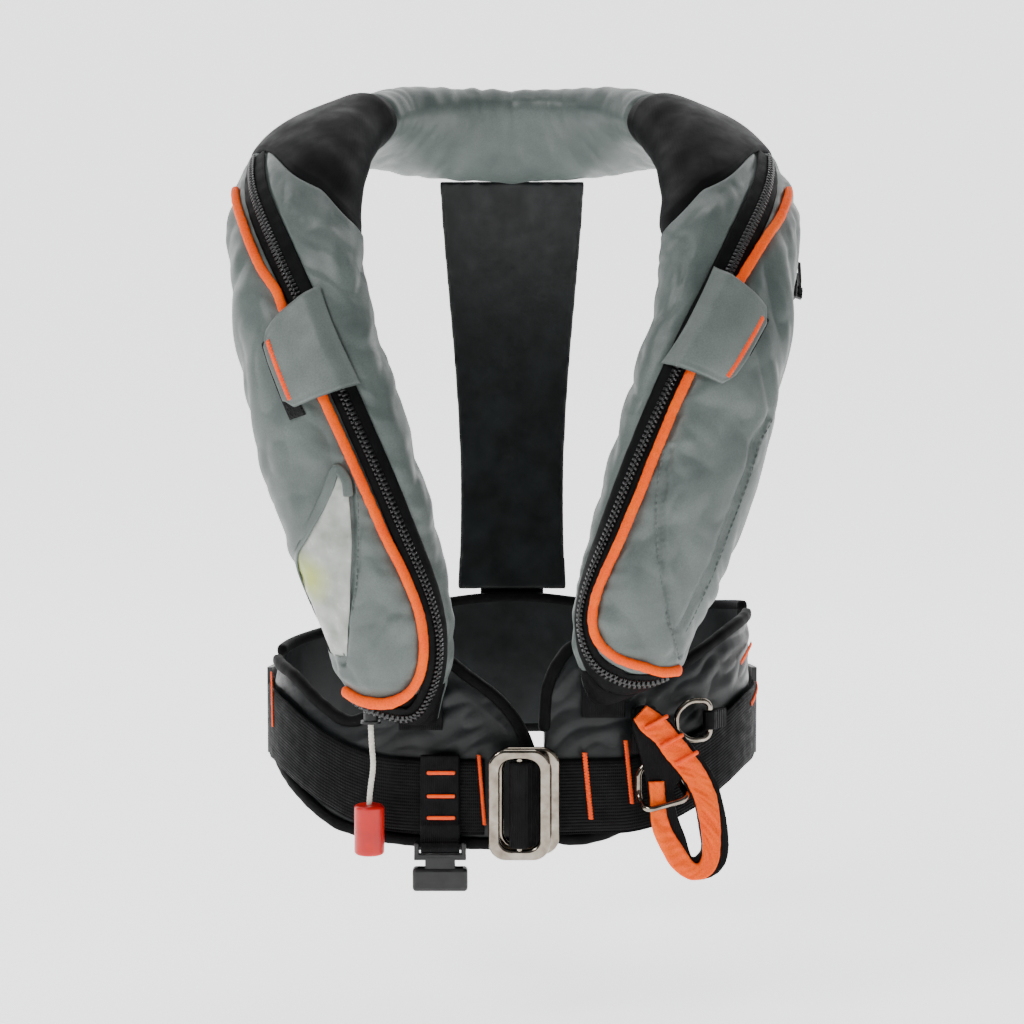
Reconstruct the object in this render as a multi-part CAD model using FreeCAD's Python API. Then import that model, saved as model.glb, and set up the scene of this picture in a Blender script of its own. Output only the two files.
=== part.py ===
"""Inflatable life jacket with a built-in sailing harness, as worn: one STEP file per sub-part.

Frame: millimetres, +Z up, -Y is the wearer's front, +X is the wearer's left.
Origin: the middle of the neck opening, level with the front of the shoulders.

The jacket is a horseshoe of packed bladder inside a zipped cover. It hangs on the shoulders and is sewn
to two padded waist wings. A webbing belt runs round the wings and closes in front with two steel frames.
"""

import FreeCAD
import Part

import math
import os

V = FreeCAD.Vector
OUT = "parts"

# ---------------------------------------------------------------- driving dimensions
SKIN = 1.6            # cover cloth with its lining
GAP = 0.4             # clearance between sewn layers
SECTION_POWER = 2.4   # superellipse power of the lobe's cross-section
BACK_FLATNESS = 0.8   # the body side of a section is this much shallower

WAIST_HALF_WIDTH = 152.0   # inside of the waist pads
WAIST_HALF_DEPTH = 100.0
WAIST_POWER = 2.3
PAD_THICKNESS = 7.0
BELT_WIDTH = 48.0
BELT_THICKNESS = 2.4
BELT_OFFSET = PAD_THICKNESS + 1.0
BELT_FRONT_Z = -379.0
BELT_SIDE_Z = -345.0

ZIP_THICKNESS = 1.8
PIPING_RADIUS = 3.3
PIPING_LIFT = 0.5

CORD_RADIUS = 1.75
CORD_X = -89.0
CORD_Y = -119.0
GROMMET_Z = -329.0
LEVER_PIVOT = V(CORD_X - 13.0, CORD_Y, -262.0)
LEVER_ARM = 13.0
TOGGLE_TOP_Z = -381.0
TOGGLE_RADIUS = 9.5
TOGGLE_HEIGHT = 32.0

FRONT_FRAME = V(4.7, -127.5, -379.5)    # centre of the front buckle frame
REAR_FRAME = V(9.0, -117.0, -379.0)     # centre of the rear buckle frame
FRAME_BAND = 7.0
FRAME_DEPTH = 5.0

# Stations of the yoke on the wearer's left, from the lobe's tip (0) to the middle of the nape (12):
# centre x, y, z, outward normal x, y, z, half-width, half-thickness
STATIONS = [
    (77, -118, -324, 0.22, -0.96, -0.10, 24, 11),
    (74, -124, -304, 0.24, -0.97, -0.04, 31, 20),
    (77, -132, -262, 0.28, -0.96, 0.00, 38, 26),
    (94, -137, -202, 0.32, -0.94, 0.05, 43, 28),
    (112, -135, -146, 0.37, -0.91, 0.12, 44, 28),
    (126, -124, -96, 0.40, -0.86, 0.30, 43, 27),
    (134, -100, -48, 0.40, -0.75, 0.52, 42, 26),
    (137, -64, -8, 0.38, -0.52, 0.76, 41, 25),
    (130, -22, 22, 0.34, -0.22, 0.92, 40, 23),
    (114, 20, 38, 0.28, 0.12, 0.95, 39, 21),
    (86, 60, 43, 0.20, 0.45, 0.87, 38, 20),
    (46, 88, 40, 0.12, 0.66, 0.74, 37, 19),
    (0, 97, 38, 0.00, 0.72, 0.69, 36, 18),
]
LAST = len(STATIONS) - 1
LEFT_TIP_LIFT = (17, 13, 5)   # the wearer's left lobe ends this much higher at its first stations
LOBE_END = 7       # the lobe's cover runs from the tip to this station
SHOULDER_END = 10  # the stretch panel of the shoulder runs on to this one

# Seams across a section: -1 is the edge beside the neck, +1 the outer edge. One value per station from 1.
ZIP_INNER = {
    -1: [-0.97, -0.96, -0.92, -0.84, -0.64, -0.24, 0.14, 0.52],
    1: [-0.97, -0.985, -0.98, -0.96, -0.75, -0.34, 0.11, 0.50],
}
ZIP_OUTER = {
    -1: [-0.80, -0.78, -0.60, -0.47, -0.27, 0.16, 0.62, 0.90],
    1: [-0.84, -0.93, -0.79, -0.71, -0.48, 0.01, 0.55, 0.87],
}


# ---------------------------------------------------------------- yoke surface
def mirrored(row):
    return (-row[0], row[1], row[2], -row[3]) + tuple(row[4:])


def station_row(k, side):
    """Station k on that side, continued past both ends of the list."""
    if k < 0:
        return tuple(2 * a - b for a, b in zip(station_row(0, side), station_row(1, side)))
    if k > LAST:
        return mirrored(STATIONS[2 * LAST - k])
    row = STATIONS[k]
    if side > 0 and k < len(LEFT_TIP_LIFT):
        row = row[:2] + (row[2] + LEFT_TIP_LIFT[k],) + row[3:]
    return row


def catmull(rows, t):
    a, b, c, d = rows
    return [
        0.5 * (2 * q + (r - p) * t + (2 * p - 5 * q + 4 * r - s) * t * t + (3 * q - p - 3 * r + s) * t ** 3)
        for p, q, r, s in zip(a, b, c, d)
    ]


def blend_row(u, side):
    k = min(int(u), LAST - 1)
    return catmull([station_row(k + j, side) for j in (-1, 0, 1, 2)], u - k)


def yoke_frame(u, side=1):
    """Centre, tangent, normal, outward width direction, half-width and half-thickness at u.

    Both sides are worked out with +X outward; side only picks that lobe's own rows.
    """
    step = 0.02
    row = blend_row(u, side)
    if u > LAST - step:
        tangent = V(-1, 0, 0)
    else:
        ahead = blend_row(u + step, side)
        behind = blend_row(max(u - step, 0), side)
        tangent = V(*ahead[:3]) - V(*behind[:3])
        tangent.normalize()
    normal = V(*row[3:6])
    normal = normal - tangent * normal.dot(tangent)
    normal.normalize()
    return V(*row[:3]), tangent, normal, tangent.cross(normal), row[6], row[7]


def side_of(point, side):
    """The same point on the wearer's left (+1) or right (-1)."""
    return V(point.x * side, point.y, point.z)


def yoke_point(u, angle, offset=0.0, side=1):
    """A point of the section at u. Angle 0 is the outer edge, 90 degrees the front, 180 the neck edge."""
    centre, _, normal, width, half_width, half_thickness = yoke_frame(u, side)
    c, s = math.cos(angle), math.sin(angle)
    power = 2 / SECTION_POWER
    across = math.copysign(abs(c) ** power, c)
    up = math.copysign(abs(s) ** power, s)
    if s < 0:
        up *= BACK_FLATNESS
    point = centre + width * ((half_width + offset) * across) + normal * ((half_thickness + offset) * up)
    return side_of(point, side)


def front_angle(share):
    """Section angle of a seam at that share of the half-width, on the front."""
    return math.acos(math.copysign(abs(share) ** (SECTION_POWER / 2), share))


def seam_share(table, u):
    """Seam position at u from a table that starts at station 1."""
    x = min(max(u - 1, 0), len(table) - 1.001)
    k = int(x)
    return table[k] + (table[k + 1] - table[k]) * (x - k)


# ---------------------------------------------------------------- waist surface
def smooth(x):
    x = min(max(x, 0.0), 1.0)
    return x * x * (3 - 2 * x)


def waist_point(turn, offset=0.0, z=0.0):
    """A point round the waist. Turn is in degrees from the front, positive to the wearer's left."""
    a = math.radians(turn)
    s, c = math.sin(a), math.cos(a)
    power = 2 / WAIST_POWER
    return V(
        (WAIST_HALF_WIDTH + offset) * math.copysign(abs(s) ** power, s),
        -(WAIST_HALF_DEPTH + offset) * math.copysign(abs(c) ** power, c),
        z,
    )


def waist_turn(x):
    """The turn at which the waist outline has that x, on the front."""
    share = min(abs(x) / WAIST_HALF_WIDTH, 1.0) ** (WAIST_POWER / 2)
    return math.copysign(math.degrees(math.asin(share)), x)


def belt_z(turn):
    return BELT_FRONT_Z + (BELT_SIDE_Z - BELT_FRONT_Z) * smooth((abs(turn) - 22) / 55)


def spread(first, last, count):
    return [first + (last - first) * k / (count - 1) for k in range(count)]


# ---------------------------------------------------------------- solid helpers
def solid_of(faces):
    shell = Part.makeShell(faces)
    shell.sewShape()
    solid = Part.makeSolid(shell)
    if solid.Volume < 0:
        solid.reverse()
    return solid


def thick_sheet(outer, inner):
    """A closed solid between two grids of points with the same numbers of rows and columns."""
    faces = []
    grids = []
    for grid in (outer, inner):
        surface = Part.BSplineSurface()
        surface.interpolate(grid)
        grids.append(surface)
        faces.append(surface.toShape())
    u0, u1, v0, v1 = grids[0].bounds()
    for pick, value in (("uIso", u0), ("uIso", u1), ("vIso", v0), ("vIso", v1)):
        pair = [getattr(surface, pick)(value).toShape() for surface in grids]
        faces.append(Part.makeRuledSurface(*pair))
    return solid_of(faces)


def spline(points, closed=False):
    curve = Part.BSplineCurve()
    curve.interpolate(points, PeriodicFlag=closed)
    return curve.toShape()


def line(a, b):
    return Part.LineSegment(a, b).toShape()


def lofted_sheet(outer, inner):
    """A closed solid lofted through strips: row by row, outer points and inner points."""
    wires = []
    for top, low in zip(outer, inner):
        edges = [spline(top), line(top[-1], low[-1]), spline(low[::-1]), line(low[0], top[0])]
        wires.append(Part.Wire(edges))
    return Part.makeLoft(wires, True, False)


def section_wire(u, offset, side, points=20):
    ring = [yoke_point(u, 2 * math.pi * k / points, offset, side) for k in range(points)]
    return Part.Wire([spline(ring, True)])


def yoke_loft(stops, offset):
    """Loft through (u, side) stops."""
    return Part.makeLoft([section_wire(u, offset, side) for u, side in stops], True, False)


def box(centre, size, round_by=0.0):
    """A box round its centre, with rounded edges."""
    sx, sy, sz = size
    shape = Part.makeBox(sx, sy, sz, V(centre.x - sx / 2, centre.y - sy / 2, centre.z - sz / 2))
    return shape.makeFillet(round_by, shape.Edges) if round_by else shape


def cylinder(start, direction, radius, length):
    return Part.makeCylinder(radius, length, start, direction)


def rounded_path(points, share=0.45):
    """Straight runs joined by tangent arcs. Returns the wire and the arcs' radii."""
    edges, radii = [], []
    start = points[0]
    for before, corner, after in zip(points, points[1:], points[2:]):
        a, b = before - corner, after - corner
        run = min(a.Length, b.Length)
        a.normalize()
        b.normalize()
        turn = math.pi - math.acos(max(-1.0, min(1.0, a.dot(b))))
        reach = share * run
        radii.append(reach / math.tan(turn / 2))
        enter, leave = corner + a * reach, corner + b * reach
        bisector = a + b
        bisector.normalize()
        centre = corner + bisector * math.hypot(radii[-1], reach)
        towards = corner - centre
        towards.normalize()
        edges.append(Part.LineSegment(start, enter).toShape())
        edges.append(Part.Arc(enter, centre + towards * radii[-1], leave).toShape())
        start = leave
    edges.append(Part.LineSegment(start, points[-1]).toShape())
    return Part.Wire(edges), radii


def tube_along(points, radius):
    """A round bar along a rounded path, and the arcs' radii."""
    wire, radii = rounded_path(points)
    direction = points[1] - points[0]
    ring = Part.Wire([Part.makeCircle(radius, points[0], direction)])
    return wire.makePipeShell([ring], True, True), radii


def frame_plate(width, height, band, depth, corner):
    """A rounded rectangular ring in the XZ plane, centred on the origin, with a full round section."""
    def outline(w, h, r):
        plate = Part.makeBox(w, depth, h, V(-w / 2, -depth / 2, -h / 2))
        upright = [e for e in plate.Edges if abs(e.BoundBox.YLength - depth) < 0.01 and e.BoundBox.XLength < 0.01]
        return plate.makeFillet(r, upright)

    ring = outline(width, height, corner).cut(outline(width - 2 * band, height - 2 * band, corner - band / 2))
    rims = [e for e in ring.Edges if e.BoundBox.YLength < 0.01]
    return ring.makeFillet(min(depth, band) * 0.42, rims)


def moved(shape, by):
    shape = shape.copy()
    shape.translate(by)
    return shape


# ---------------------------------------------------------------- cover, collar and bladder
def cover_lobe(side):
    stops = [(k, side) for k in range(LOBE_END + 1)]
    inner = [(0.12, side)] + stops[1:]
    return yoke_loft(stops, 0).cut(yoke_loft(inner, -SKIN))


def tube_cover(stops, skin):
    return yoke_loft(stops, 0).cut(yoke_loft(stops, -skin))


def shoulder_panel(side):
    return tube_cover([(k, side) for k in range(LOBE_END, SHOULDER_END + 1)], 2.4)


def nape_stops(first):
    """Stops from station `first` on the left, over the nape, to the same station on the right."""
    left = [(k, 1) for k in range(first, LAST + 1)]
    return left + [(k, -1) for k in range(LAST - 1, first - 1, -1)]


# ---------------------------------------------------------------- trims that follow the lobe
def zip_tape(side):
    outer, inner = [], []
    stops = [1.0, 1.5, 2, 3, 4, 5, 6, 7, 7.6, 8]
    for u in stops:
        low, high = (front_angle(seam_share(edge[side], u)) for edge in (ZIP_INNER, ZIP_OUTER))
        angles = [low + (high - low) * k / 4 for k in range(5)]
        inner.append([yoke_point(u, a, GAP, side) for a in angles])
        outer.append([yoke_point(u, a, GAP + ZIP_THICKNESS, side) for a in angles])
    return lofted_sheet(outer, inner)


# (station, share of the half-width) along the piping: over the shoulder, down beside the zip, round the tip
PIPING_ROUTE = {
    -1: [
        (7.25, 0.84), (6.6, 0.55), (6, 0.30), (5, -0.17), (4, -0.38), (3, -0.51),
        (2.2, -0.68), (1.6, -0.66), (1.15, -0.44), (0.9, -0.05), (0.82, 0.40), (0.95, 0.80),
    ],
    1: [
        (7.25, 0.84), (6.6, 0.49), (6, 0.11), (5, -0.42), (4, -0.62), (3, -0.70),
        (2.2, -0.82), (1.8, -0.76), (1.55, -0.44), (1.35, 0.02), (1.15, 0.38), (1.02, 0.76),
    ],
}


def piping(side, samples=44):
    flat = Part.BSplineCurve()
    flat.interpolate([V(u, share, 0) for u, share in PIPING_ROUTE[side]])
    first, last = flat.FirstParameter, flat.LastParameter
    route = []
    for spot in (flat.value(t) for t in spread(first, last, samples)):
        route.append(yoke_point(spot.x, front_angle(spot.y), PIPING_RADIUS + PIPING_LIFT, side))
    ring = Part.Wire([Part.makeCircle(PIPING_RADIUS, route[0], route[1] - route[0])])
    return Part.Wire([spline(route)]).makePipeShell([ring], True, True)


# corners of each closing tab as (station, share): neck side top and bottom, outer side bottom and top
TAB_CORNERS = {
    -1: [(5.54, -0.535), (4.40, -0.785), (4.36, 0.18), (5.17, 0.33)],
    1: [(5.755, -0.445), (4.615, -0.865), (4.55, -0.01), (5.44, 0.40)],
}
TAB_THICKNESS = 1.6
TAB_LIFT = 8.4
TAB_SEAM_LIFT = 3.2
TAB_TIP_LIFT = 4.2


def tab_spot(along, across, side):
    """(station, share) inside the tab: along runs down the jacket, across runs from the seam to the tip."""
    (u0, s0), (u1, s1), (u2, s2), (u3, s3) = TAB_CORNERS[side]
    seam = (u0 + (u1 - u0) * along, s0 + (s1 - s0) * along)
    tip = (u3 + (u2 - u3) * along, s3 + (s2 - s3) * along)
    return seam[0] + (tip[0] - seam[0]) * across, seam[1] + (tip[1] - seam[1]) * across


def tab_height(across):
    """The tab rises over the zip and piping, and comes down to its hook pad."""
    if across < 0.3:
        return TAB_SEAM_LIFT + (TAB_LIFT - TAB_SEAM_LIFT) * smooth(across / 0.3)
    return TAB_LIFT + (TAB_TIP_LIFT - TAB_LIFT) * smooth((across - 0.55) / 0.45)


def tab(side):
    lower, upper = [], []
    for i in range(5):
        rows = [tab_spot(i / 4, j / 8, side) + (tab_height(j / 8),) for j in range(9)]
        lower.append([yoke_point(u, front_angle(s), lift, side) for u, s, lift in rows])
        upper.append([yoke_point(u, front_angle(s), lift + TAB_THICKNESS, side) for u, s, lift in rows])
    return thick_sheet(upper, lower)


def tab_hinge(side):
    """A point and a direction for the sewn edge, with the direction chosen to lift the tab when it turns."""
    spots = [tab_spot(end, 0, side) for end in (0, 1)]
    top, bottom = [yoke_point(u, front_angle(s), TAB_SEAM_LIFT + TAB_THICKNESS, side) for u, s in spots]
    axis = bottom - top
    axis.normalize()
    u, s = tab_spot(0.5, 1, side)
    reach = yoke_point(u, front_angle(s), TAB_TIP_LIFT, side) - top
    outward = yoke_point(u, front_angle(s), 20, side) - yoke_point(u, front_angle(s), 0, side)
    if axis.cross(reach).dot(outward) < 0:
        axis = axis * -1
    return (top + bottom) * 0.5, axis


def hook_pad(side):
    lower, upper = [], []
    for i in range(4):
        rows = [tab_spot(0.06 + 1.06 * i / 3, 0.80 + 0.24 * j / 3, side) for j in range(4)]
        lower.append([yoke_point(u, front_angle(min(s, 0.97)), GAP, side) for u, s in rows])
        upper.append([yoke_point(u, front_angle(min(s, 0.97)), GAP + 2.2, side) for u, s in rows])
    return thick_sheet(upper, lower)


# the clear window over the inflator: (station, share) rows from its top to its bottom
WINDOW_ROWS = [
    (3.66, -0.30, -0.20), (3.42, -0.25, 0.08), (3.15, -0.16, 0.48), (2.90, -0.06, 0.85), (2.55, 0.14, 0.97),
    (2.1, 0.38, 0.97), (1.65, 0.58, 0.95),
]


def window(side):
    lower, upper = [], []
    for u, near, far in WINDOW_ROWS:
        shares = [near + (far - near) * j / 4 for j in range(5)]
        lower.append([yoke_point(u, front_angle(s), GAP, side) for s in shares])
        upper.append([yoke_point(u, front_angle(s), GAP + 0.9, side) for s in shares])
    return thick_sheet(upper, lower)


# ---------------------------------------------------------------- side zip, slider and pull tab
SIDE_ZIP_ANGLE = math.radians(-7)
SLIDER_STATION = 6.15
SLIDER_SIZE = (5.0, 9.0, 14.0)   # off the cover, along the seam's width, along the zip
SLIDER_LIFT = 1.4        # clear of the zip's face, so that the straight travel stays off the curved zip


def side_zip():
    lower, upper = [], []
    for u in (2.0, 3, 4, 5, 6, 6.6):
        angles = [SIDE_ZIP_ANGLE + math.radians(d) for d in (-14, 0, 14)]
        lower.append([yoke_point(u, a, 2 * GAP) for a in angles])
        upper.append([yoke_point(u, a, 2 * GAP + ZIP_THICKNESS) for a in angles])
    return thick_sheet(upper, lower)


def slider_frame():
    """Centre of the slider on the side zip, its outward direction, its downward travel and its width's."""
    _, tangent, normal, width, _, _ = yoke_frame(SLIDER_STATION)
    base = yoke_point(SLIDER_STATION, SIDE_ZIP_ANGLE, GAP + ZIP_THICKNESS + SLIDER_LIFT)
    return base + width * (SLIDER_SIZE[0] / 2), width, tangent * -1, normal


def placed(shape, origin, x_dir, z_dir):
    """Moves a shape drawn at the origin so that its X and Z lie along those directions."""
    rotation = FreeCAD.Rotation(x_dir, V(0, 0, 0), z_dir, "XZY")
    shape = shape.copy()
    shape.Placement = FreeCAD.Placement(origin, rotation)
    return shape


def slider_body():
    centre, out, down, _ = slider_frame()
    top = SLIDER_SIZE[0] / 2
    bridge = box(V(top + 2.0, 0, 0), (5.8, 2.4, 8.0))
    bridge = bridge.cut(cylinder(V(top + PULL_PIVOT_HEIGHT, -3, 0), V(0, 1, 0), 1.3, 6))
    return placed(box(V(0, 0, 0), SLIDER_SIZE, 1.2).fuse(bridge), centre, out, down)


PULL_PIVOT_HEIGHT = 2.6   # of the pull tab's pivot above the slider's top


def pull_hinge():
    """The pull tab's pivot, through the slider's bridge, across the zip."""
    centre, out, _, normal = slider_frame()
    return centre + out * (SLIDER_SIZE[0] / 2 + PULL_PIVOT_HEIGHT), normal


def pull_tab():
    """A flat tab that hangs from the bridge: two eyes on a pin, and a slot near its end."""
    pivot, across = pull_hinge()
    plate = box(V(0, 0, -13.5), (1.6, 7.0, 17.0))
    plate = plate.makeFillet(2.0, [e for e in plate.Edges if e.BoundBox.YLength < 0.01 and e.BoundBox.ZLength < 0.01])
    shape = plate.cut(box(V(0, 0, -17.0), (4, 3.6, 6.0)))
    for y in (2.2, -2.2):
        shape = shape.fuse(box(V(0, y, -3.5), (1.6, 1.4, 6.4)))
        shape = shape.fuse(cylinder(V(0, y - 0.7, 0), V(0, 1, 0), 1.7, 1.4))
    shape = shape.fuse(cylinder(V(0, -2.9, 0), V(0, 1, 0), 0.9, 5.8))
    out = V(1, 0, 0) - across * across.x
    out.normalize()
    return placed(shape.removeSplitter(), pivot, out, out.cross(across))


# ---------------------------------------------------------------- inflator, inside the right lobe
CYLINDER_BASE = V(-100, -133, -224)
CYLINDER_RADIUS = 14.0
CYLINDER_LENGTH = 96.0
LOBE_AXIS = V(-0.30, 0.03, 0.95)


def along_axis(point, distance):
    """A point moved along the lobe's length."""
    axis = V(LOBE_AXIS)
    axis.normalize()
    return point + axis * distance


def gas_cylinder():
    body = cylinder(CYLINDER_BASE, LOBE_AXIS, CYLINDER_RADIUS, CYLINDER_LENGTH)
    body = body.makeFillet(9, [e for e in body.Edges if e.isClosed()])
    return body.fuse(cylinder(along_axis(CYLINDER_BASE, -9), LOBE_AXIS, 5.0, 12))


INFLATOR_CENTRE = V(-101, -129, -243)
INFLATOR_SIZE = (24, 20, 24)
EAR_SPREAD = 4.5   # from the lever's middle to the middle of each ear


def inflator_body():
    """Die-cast body: the cylinder screws into its top, the lever turns between two ears below it."""
    body = box(INFLATOR_CENTRE, INFLATOR_SIZE, 3)
    collar = cylinder(along_axis(CYLINDER_BASE, -12), LOBE_AXIS, 11, 8)
    bracket = box(LEVER_PIVOT + V(0, 0, 10), (10, 2 * EAR_SPREAD + 3, 9))
    shape = body.fuse(collar).fuse(bracket)
    for dy in (-EAR_SPREAD, EAR_SPREAD):
        shape = shape.fuse(box(LEVER_PIVOT + V(0, dy, 3.0), (10, 3.0, 15)))
    shape = shape.cut(cylinder(along_axis(CYLINDER_BASE, -9.4), LOBE_AXIS, 5.4, 14))
    shape = shape.cut(cylinder(LEVER_PIVOT + V(0, -8, 0), V(0, 1, 0), 1.8, 16))
    return shape.cut(box(LEVER_PIVOT, (12, 2 * EAR_SPREAD - 3, 10)))


def inflator_front(dx, dz):
    """A spot just in front of the inflator's body."""
    return V(INFLATOR_CENTRE.x + dx, INFLATOR_CENTRE.y - INFLATOR_SIZE[1] / 2 - GAP, INFLATOR_CENTRE.z + dz)


def sensor_cap():
    """The water sensor's cap on the front of the inflator."""
    return cylinder(inflator_front(5.5, -2), V(0, -1, 0), 8.0, 4.5)


def status_tag():
    """The coloured tag that shows through the window whether the inflator is armed."""
    return box(inflator_front(-6, -4) + V(0, -1.3, 0), (5, 2.4, 12), 0.8)


def lever():
    """The firing lever: a pivot pin, a boss and an arm whose end hooks over the cord."""
    pin = cylinder(LEVER_PIVOT + V(0, -6.4, 0), V(0, 1, 0), 1.4, 12.8)
    boss = cylinder(LEVER_PIVOT + V(0, -2.4, 0), V(0, 1, 0), 3.4, 4.8)
    arm = box(LEVER_PIVOT + V(LEVER_ARM / 2 + 0.8, 0, 0), (LEVER_ARM, 4.8, 3.2))
    return pin.fuse(boss).fuse(arm)


def grommet():
    ring = cylinder(V(CORD_X, CORD_Y, GROMMET_Z), V(0, 0, 1), 4.6, 7)
    rim = cylinder(V(CORD_X, CORD_Y, GROMMET_Z), V(0, 0, 1), 6.4, 1.6)
    return ring.fuse(rim).cut(cylinder(V(CORD_X, CORD_Y, GROMMET_Z - 1), V(0, 0, 1), CORD_RADIUS + 0.6, 9))


def cord_passage():
    """The hole in the cover for the grommet."""
    return cylinder(V(CORD_X, CORD_Y, GROMMET_Z - 6), V(0, 0, 1), 4.9, 26)


CORD_ROUTE = [
    V(CORD_X, CORD_Y, GROMMET_Z),
    V(CORD_X + 0.3, CORD_Y - 0.4, GROMMET_Z - 12),
    V(CORD_X + 1.9, CORD_Y - 0.9, GROMMET_Z - 27),
    V(CORD_X - 0.6, CORD_Y - 0.6, GROMMET_Z - 42),
    V(CORD_X - 1.2, CORD_Y - 0.3, TOGGLE_TOP_Z),
]


def free_cord():
    """The part of the pull cord that shows, from the grommet to the toggle."""
    cord, radii = tube_along(CORD_ROUTE, CORD_RADIUS)
    length = cord.Volume / (math.pi * CORD_RADIUS ** 2)
    straight = sum((b - a).Length for a, b in zip(CORD_ROUTE, CORD_ROUTE[1:]))
    print("pull cord arc radii", [round(r, 1) for r in radii], "mm")
    print(f"pull cord: volume over section {length:.2f} mm, corner to corner {straight:.2f} mm")
    return cord


def inner_cord():
    top = LEVER_PIVOT.z - 2.6
    return cylinder(V(CORD_X, CORD_Y, GROMMET_Z), V(0, 0, 1), CORD_RADIUS, top - GROMMET_Z)


def toggle():
    top = CORD_ROUTE[-1]
    body = cylinder(top - V(0, 0, TOGGLE_HEIGHT), V(0, 0, 1), TOGGLE_RADIUS, TOGGLE_HEIGHT)
    body = body.makeFillet(2.2, [e for e in body.Edges if e.isClosed()])
    slope = box(V(0, 0, 0), (30, 30, 20))
    slope.rotate(V(0, 0, 0), V(0, 1, 0), 35)
    slope.translate(top + V(13.5, -4, 7.5))
    return body.cut(slope)


# ---------------------------------------------------------------- what the left lobe holds
TUBE_FOOT = V(104, -133, -250)
TUBE_LENGTH = 62.0
TUBE_AXIS = V(0.30, 0.03, 0.95)
WHISTLE_CENTRE = V(74, -138, -232)
WHISTLE_SIZE = (14, 9, 40)


def along_tube(distance):
    axis = V(TUBE_AXIS)
    axis.normalize()
    return TUBE_FOOT + axis * distance


def oral_tube():
    tube = cylinder(TUBE_FOOT, TUBE_AXIS, 6.0, TUBE_LENGTH)
    flange = cylinder(TUBE_FOOT, TUBE_AXIS, 11.0, 3.0)
    mouth = cylinder(along_tube(TUBE_LENGTH - 12), TUBE_AXIS, 7.5, 12)
    bore = cylinder(along_tube(-1), TUBE_AXIS, 3.6, TUBE_LENGTH + 2)
    return tube.fuse(flange).fuse(mouth).cut(bore)


def tube_cap():
    skirt = cylinder(along_tube(TUBE_LENGTH - 7), TUBE_AXIS, 9.4, 11)
    return skirt.cut(cylinder(along_tube(TUBE_LENGTH - 8), TUBE_AXIS, 7.9, 8.6))


def whistle():
    body = box(WHISTLE_CENTRE, WHISTLE_SIZE, 2.5)
    return body.cut(box(WHISTLE_CENTRE + V(0, -4, -8), (8, 5, 3)))


# ---------------------------------------------------------------- packed bladder with its pockets
POCKET = 1.5          # room round each part inside the packed bladder
BLADDER_INSET = 6.5   # from the cover's outside


def bladder():
    """The packed bladder as one horseshoe, with pockets for everything stowed in it."""
    left = [(1.0, 1)] + [(k, 1) for k in range(2, LAST + 1)]
    right = [(k, -1) for k in range(LAST - 1, 1, -1)] + [(1.0, -1)]
    shape = yoke_loft(left + right, -BLADDER_INSET)
    whistle_room = tuple(d + 2 * POCKET for d in WHISTLE_SIZE)
    pockets = [
        cylinder(along_axis(CYLINDER_BASE, -14), LOBE_AXIS, CYLINDER_RADIUS + POCKET, CYLINDER_LENGTH + 17),
        box(INFLATOR_CENTRE + V(0, 3, -8), (INFLATOR_SIZE[0] + 14, 46, 62)),
        box(V(CORD_X, CORD_Y, -290), (16, 20, 60)),
        cylinder(along_tube(-POCKET), TUBE_AXIS, 11.5 + POCKET, TUBE_LENGTH + 8),
        box(WHISTLE_CENTRE, whistle_room),
    ]
    for pocket in pockets:
        shape = shape.cut(pocket)
    return max(shape.Solids, key=lambda solid: solid.Volume)


# ---------------------------------------------------------------- waist wings
# Outlines seen from the front: the top edge from the middle outwards, then the bottom edge back again
RIGHT_WING_TOP = [(10, -350), (4, -333), (-8, -317), (-27, -302), (-45, -291), (-66, -309), (-84, -326),
                  (-102, -334), (-120, -325), (-138, -310), (-166, -304)]
RIGHT_WING_BOTTOM = [(-166, -362), (-138, -382), (-115, -399), (-95, -405), (-70, -408), (-45, -409),
                     (-10, -409.5), (12, -409)]
LEFT_WING_TOP = [(20, -330), (21, -312), (27, -296), (40, -282), (58, -294), (78, -302), (97, -302),
                 (117, -291), (138, -279), (166, -272)]
LEFT_WING_BOTTOM = [(166, -354), (140, -364), (120, -375), (100, -385), (79, -395), (54, -405), (36, -407),
                    (24, -403)]
BACK_TOP = [(-170, -304), (-110, -298), (-60, -286), (0, -280), (60, -284), (110, -280), (170, -273)]
BACK_BOTTOM = [(170, -358), (60, -372), (-60, -372), (-170, -362)]
FLANK_TURN = 97.0
BELT_ZONE = (-440, -250)   # heights that hold every waist piece


def waist_band(first_turn, last_turn, offset, thickness, count):
    """A plain band round the waist over the whole belt zone, to be trimmed to an outline."""
    outer, inner = [], []
    for turn in spread(first_turn, last_turn, count):
        inner.append([waist_point(turn, offset, z) for z in BELT_ZONE])
        outer.append([waist_point(turn, offset + thickness, z) for z in BELT_ZONE])
    return lofted_sheet(outer, inner)


def outline_prism(top, bottom):
    """Everything in front of or behind an outline drawn in the XZ plane."""
    depth = 400
    upper = [V(x, -depth / 2, z) for x, z in top]
    lower = [V(x, -depth / 2, z) for x, z in bottom]
    wire = Part.Wire([spline(upper), line(upper[-1], lower[0]), spline(lower), line(lower[-1], upper[0])])
    return Part.Face(wire).extrude(V(0, depth, 0))


def waist_wing(side, first_turn, top, bottom):
    band = waist_band(first_turn, side * FLANK_TURN, 0, PAD_THICKNESS, 16)
    return band.common(outline_prism(top, bottom))


def back_wing():
    """The padded band across the small of the back, deeper in the middle."""
    band = waist_band(FLANK_TURN + 1, 360 - FLANK_TURN - 1, 0, PAD_THICKNESS, 16)
    return band.common(outline_prism(BACK_TOP, BACK_BOTTOM))


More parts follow.
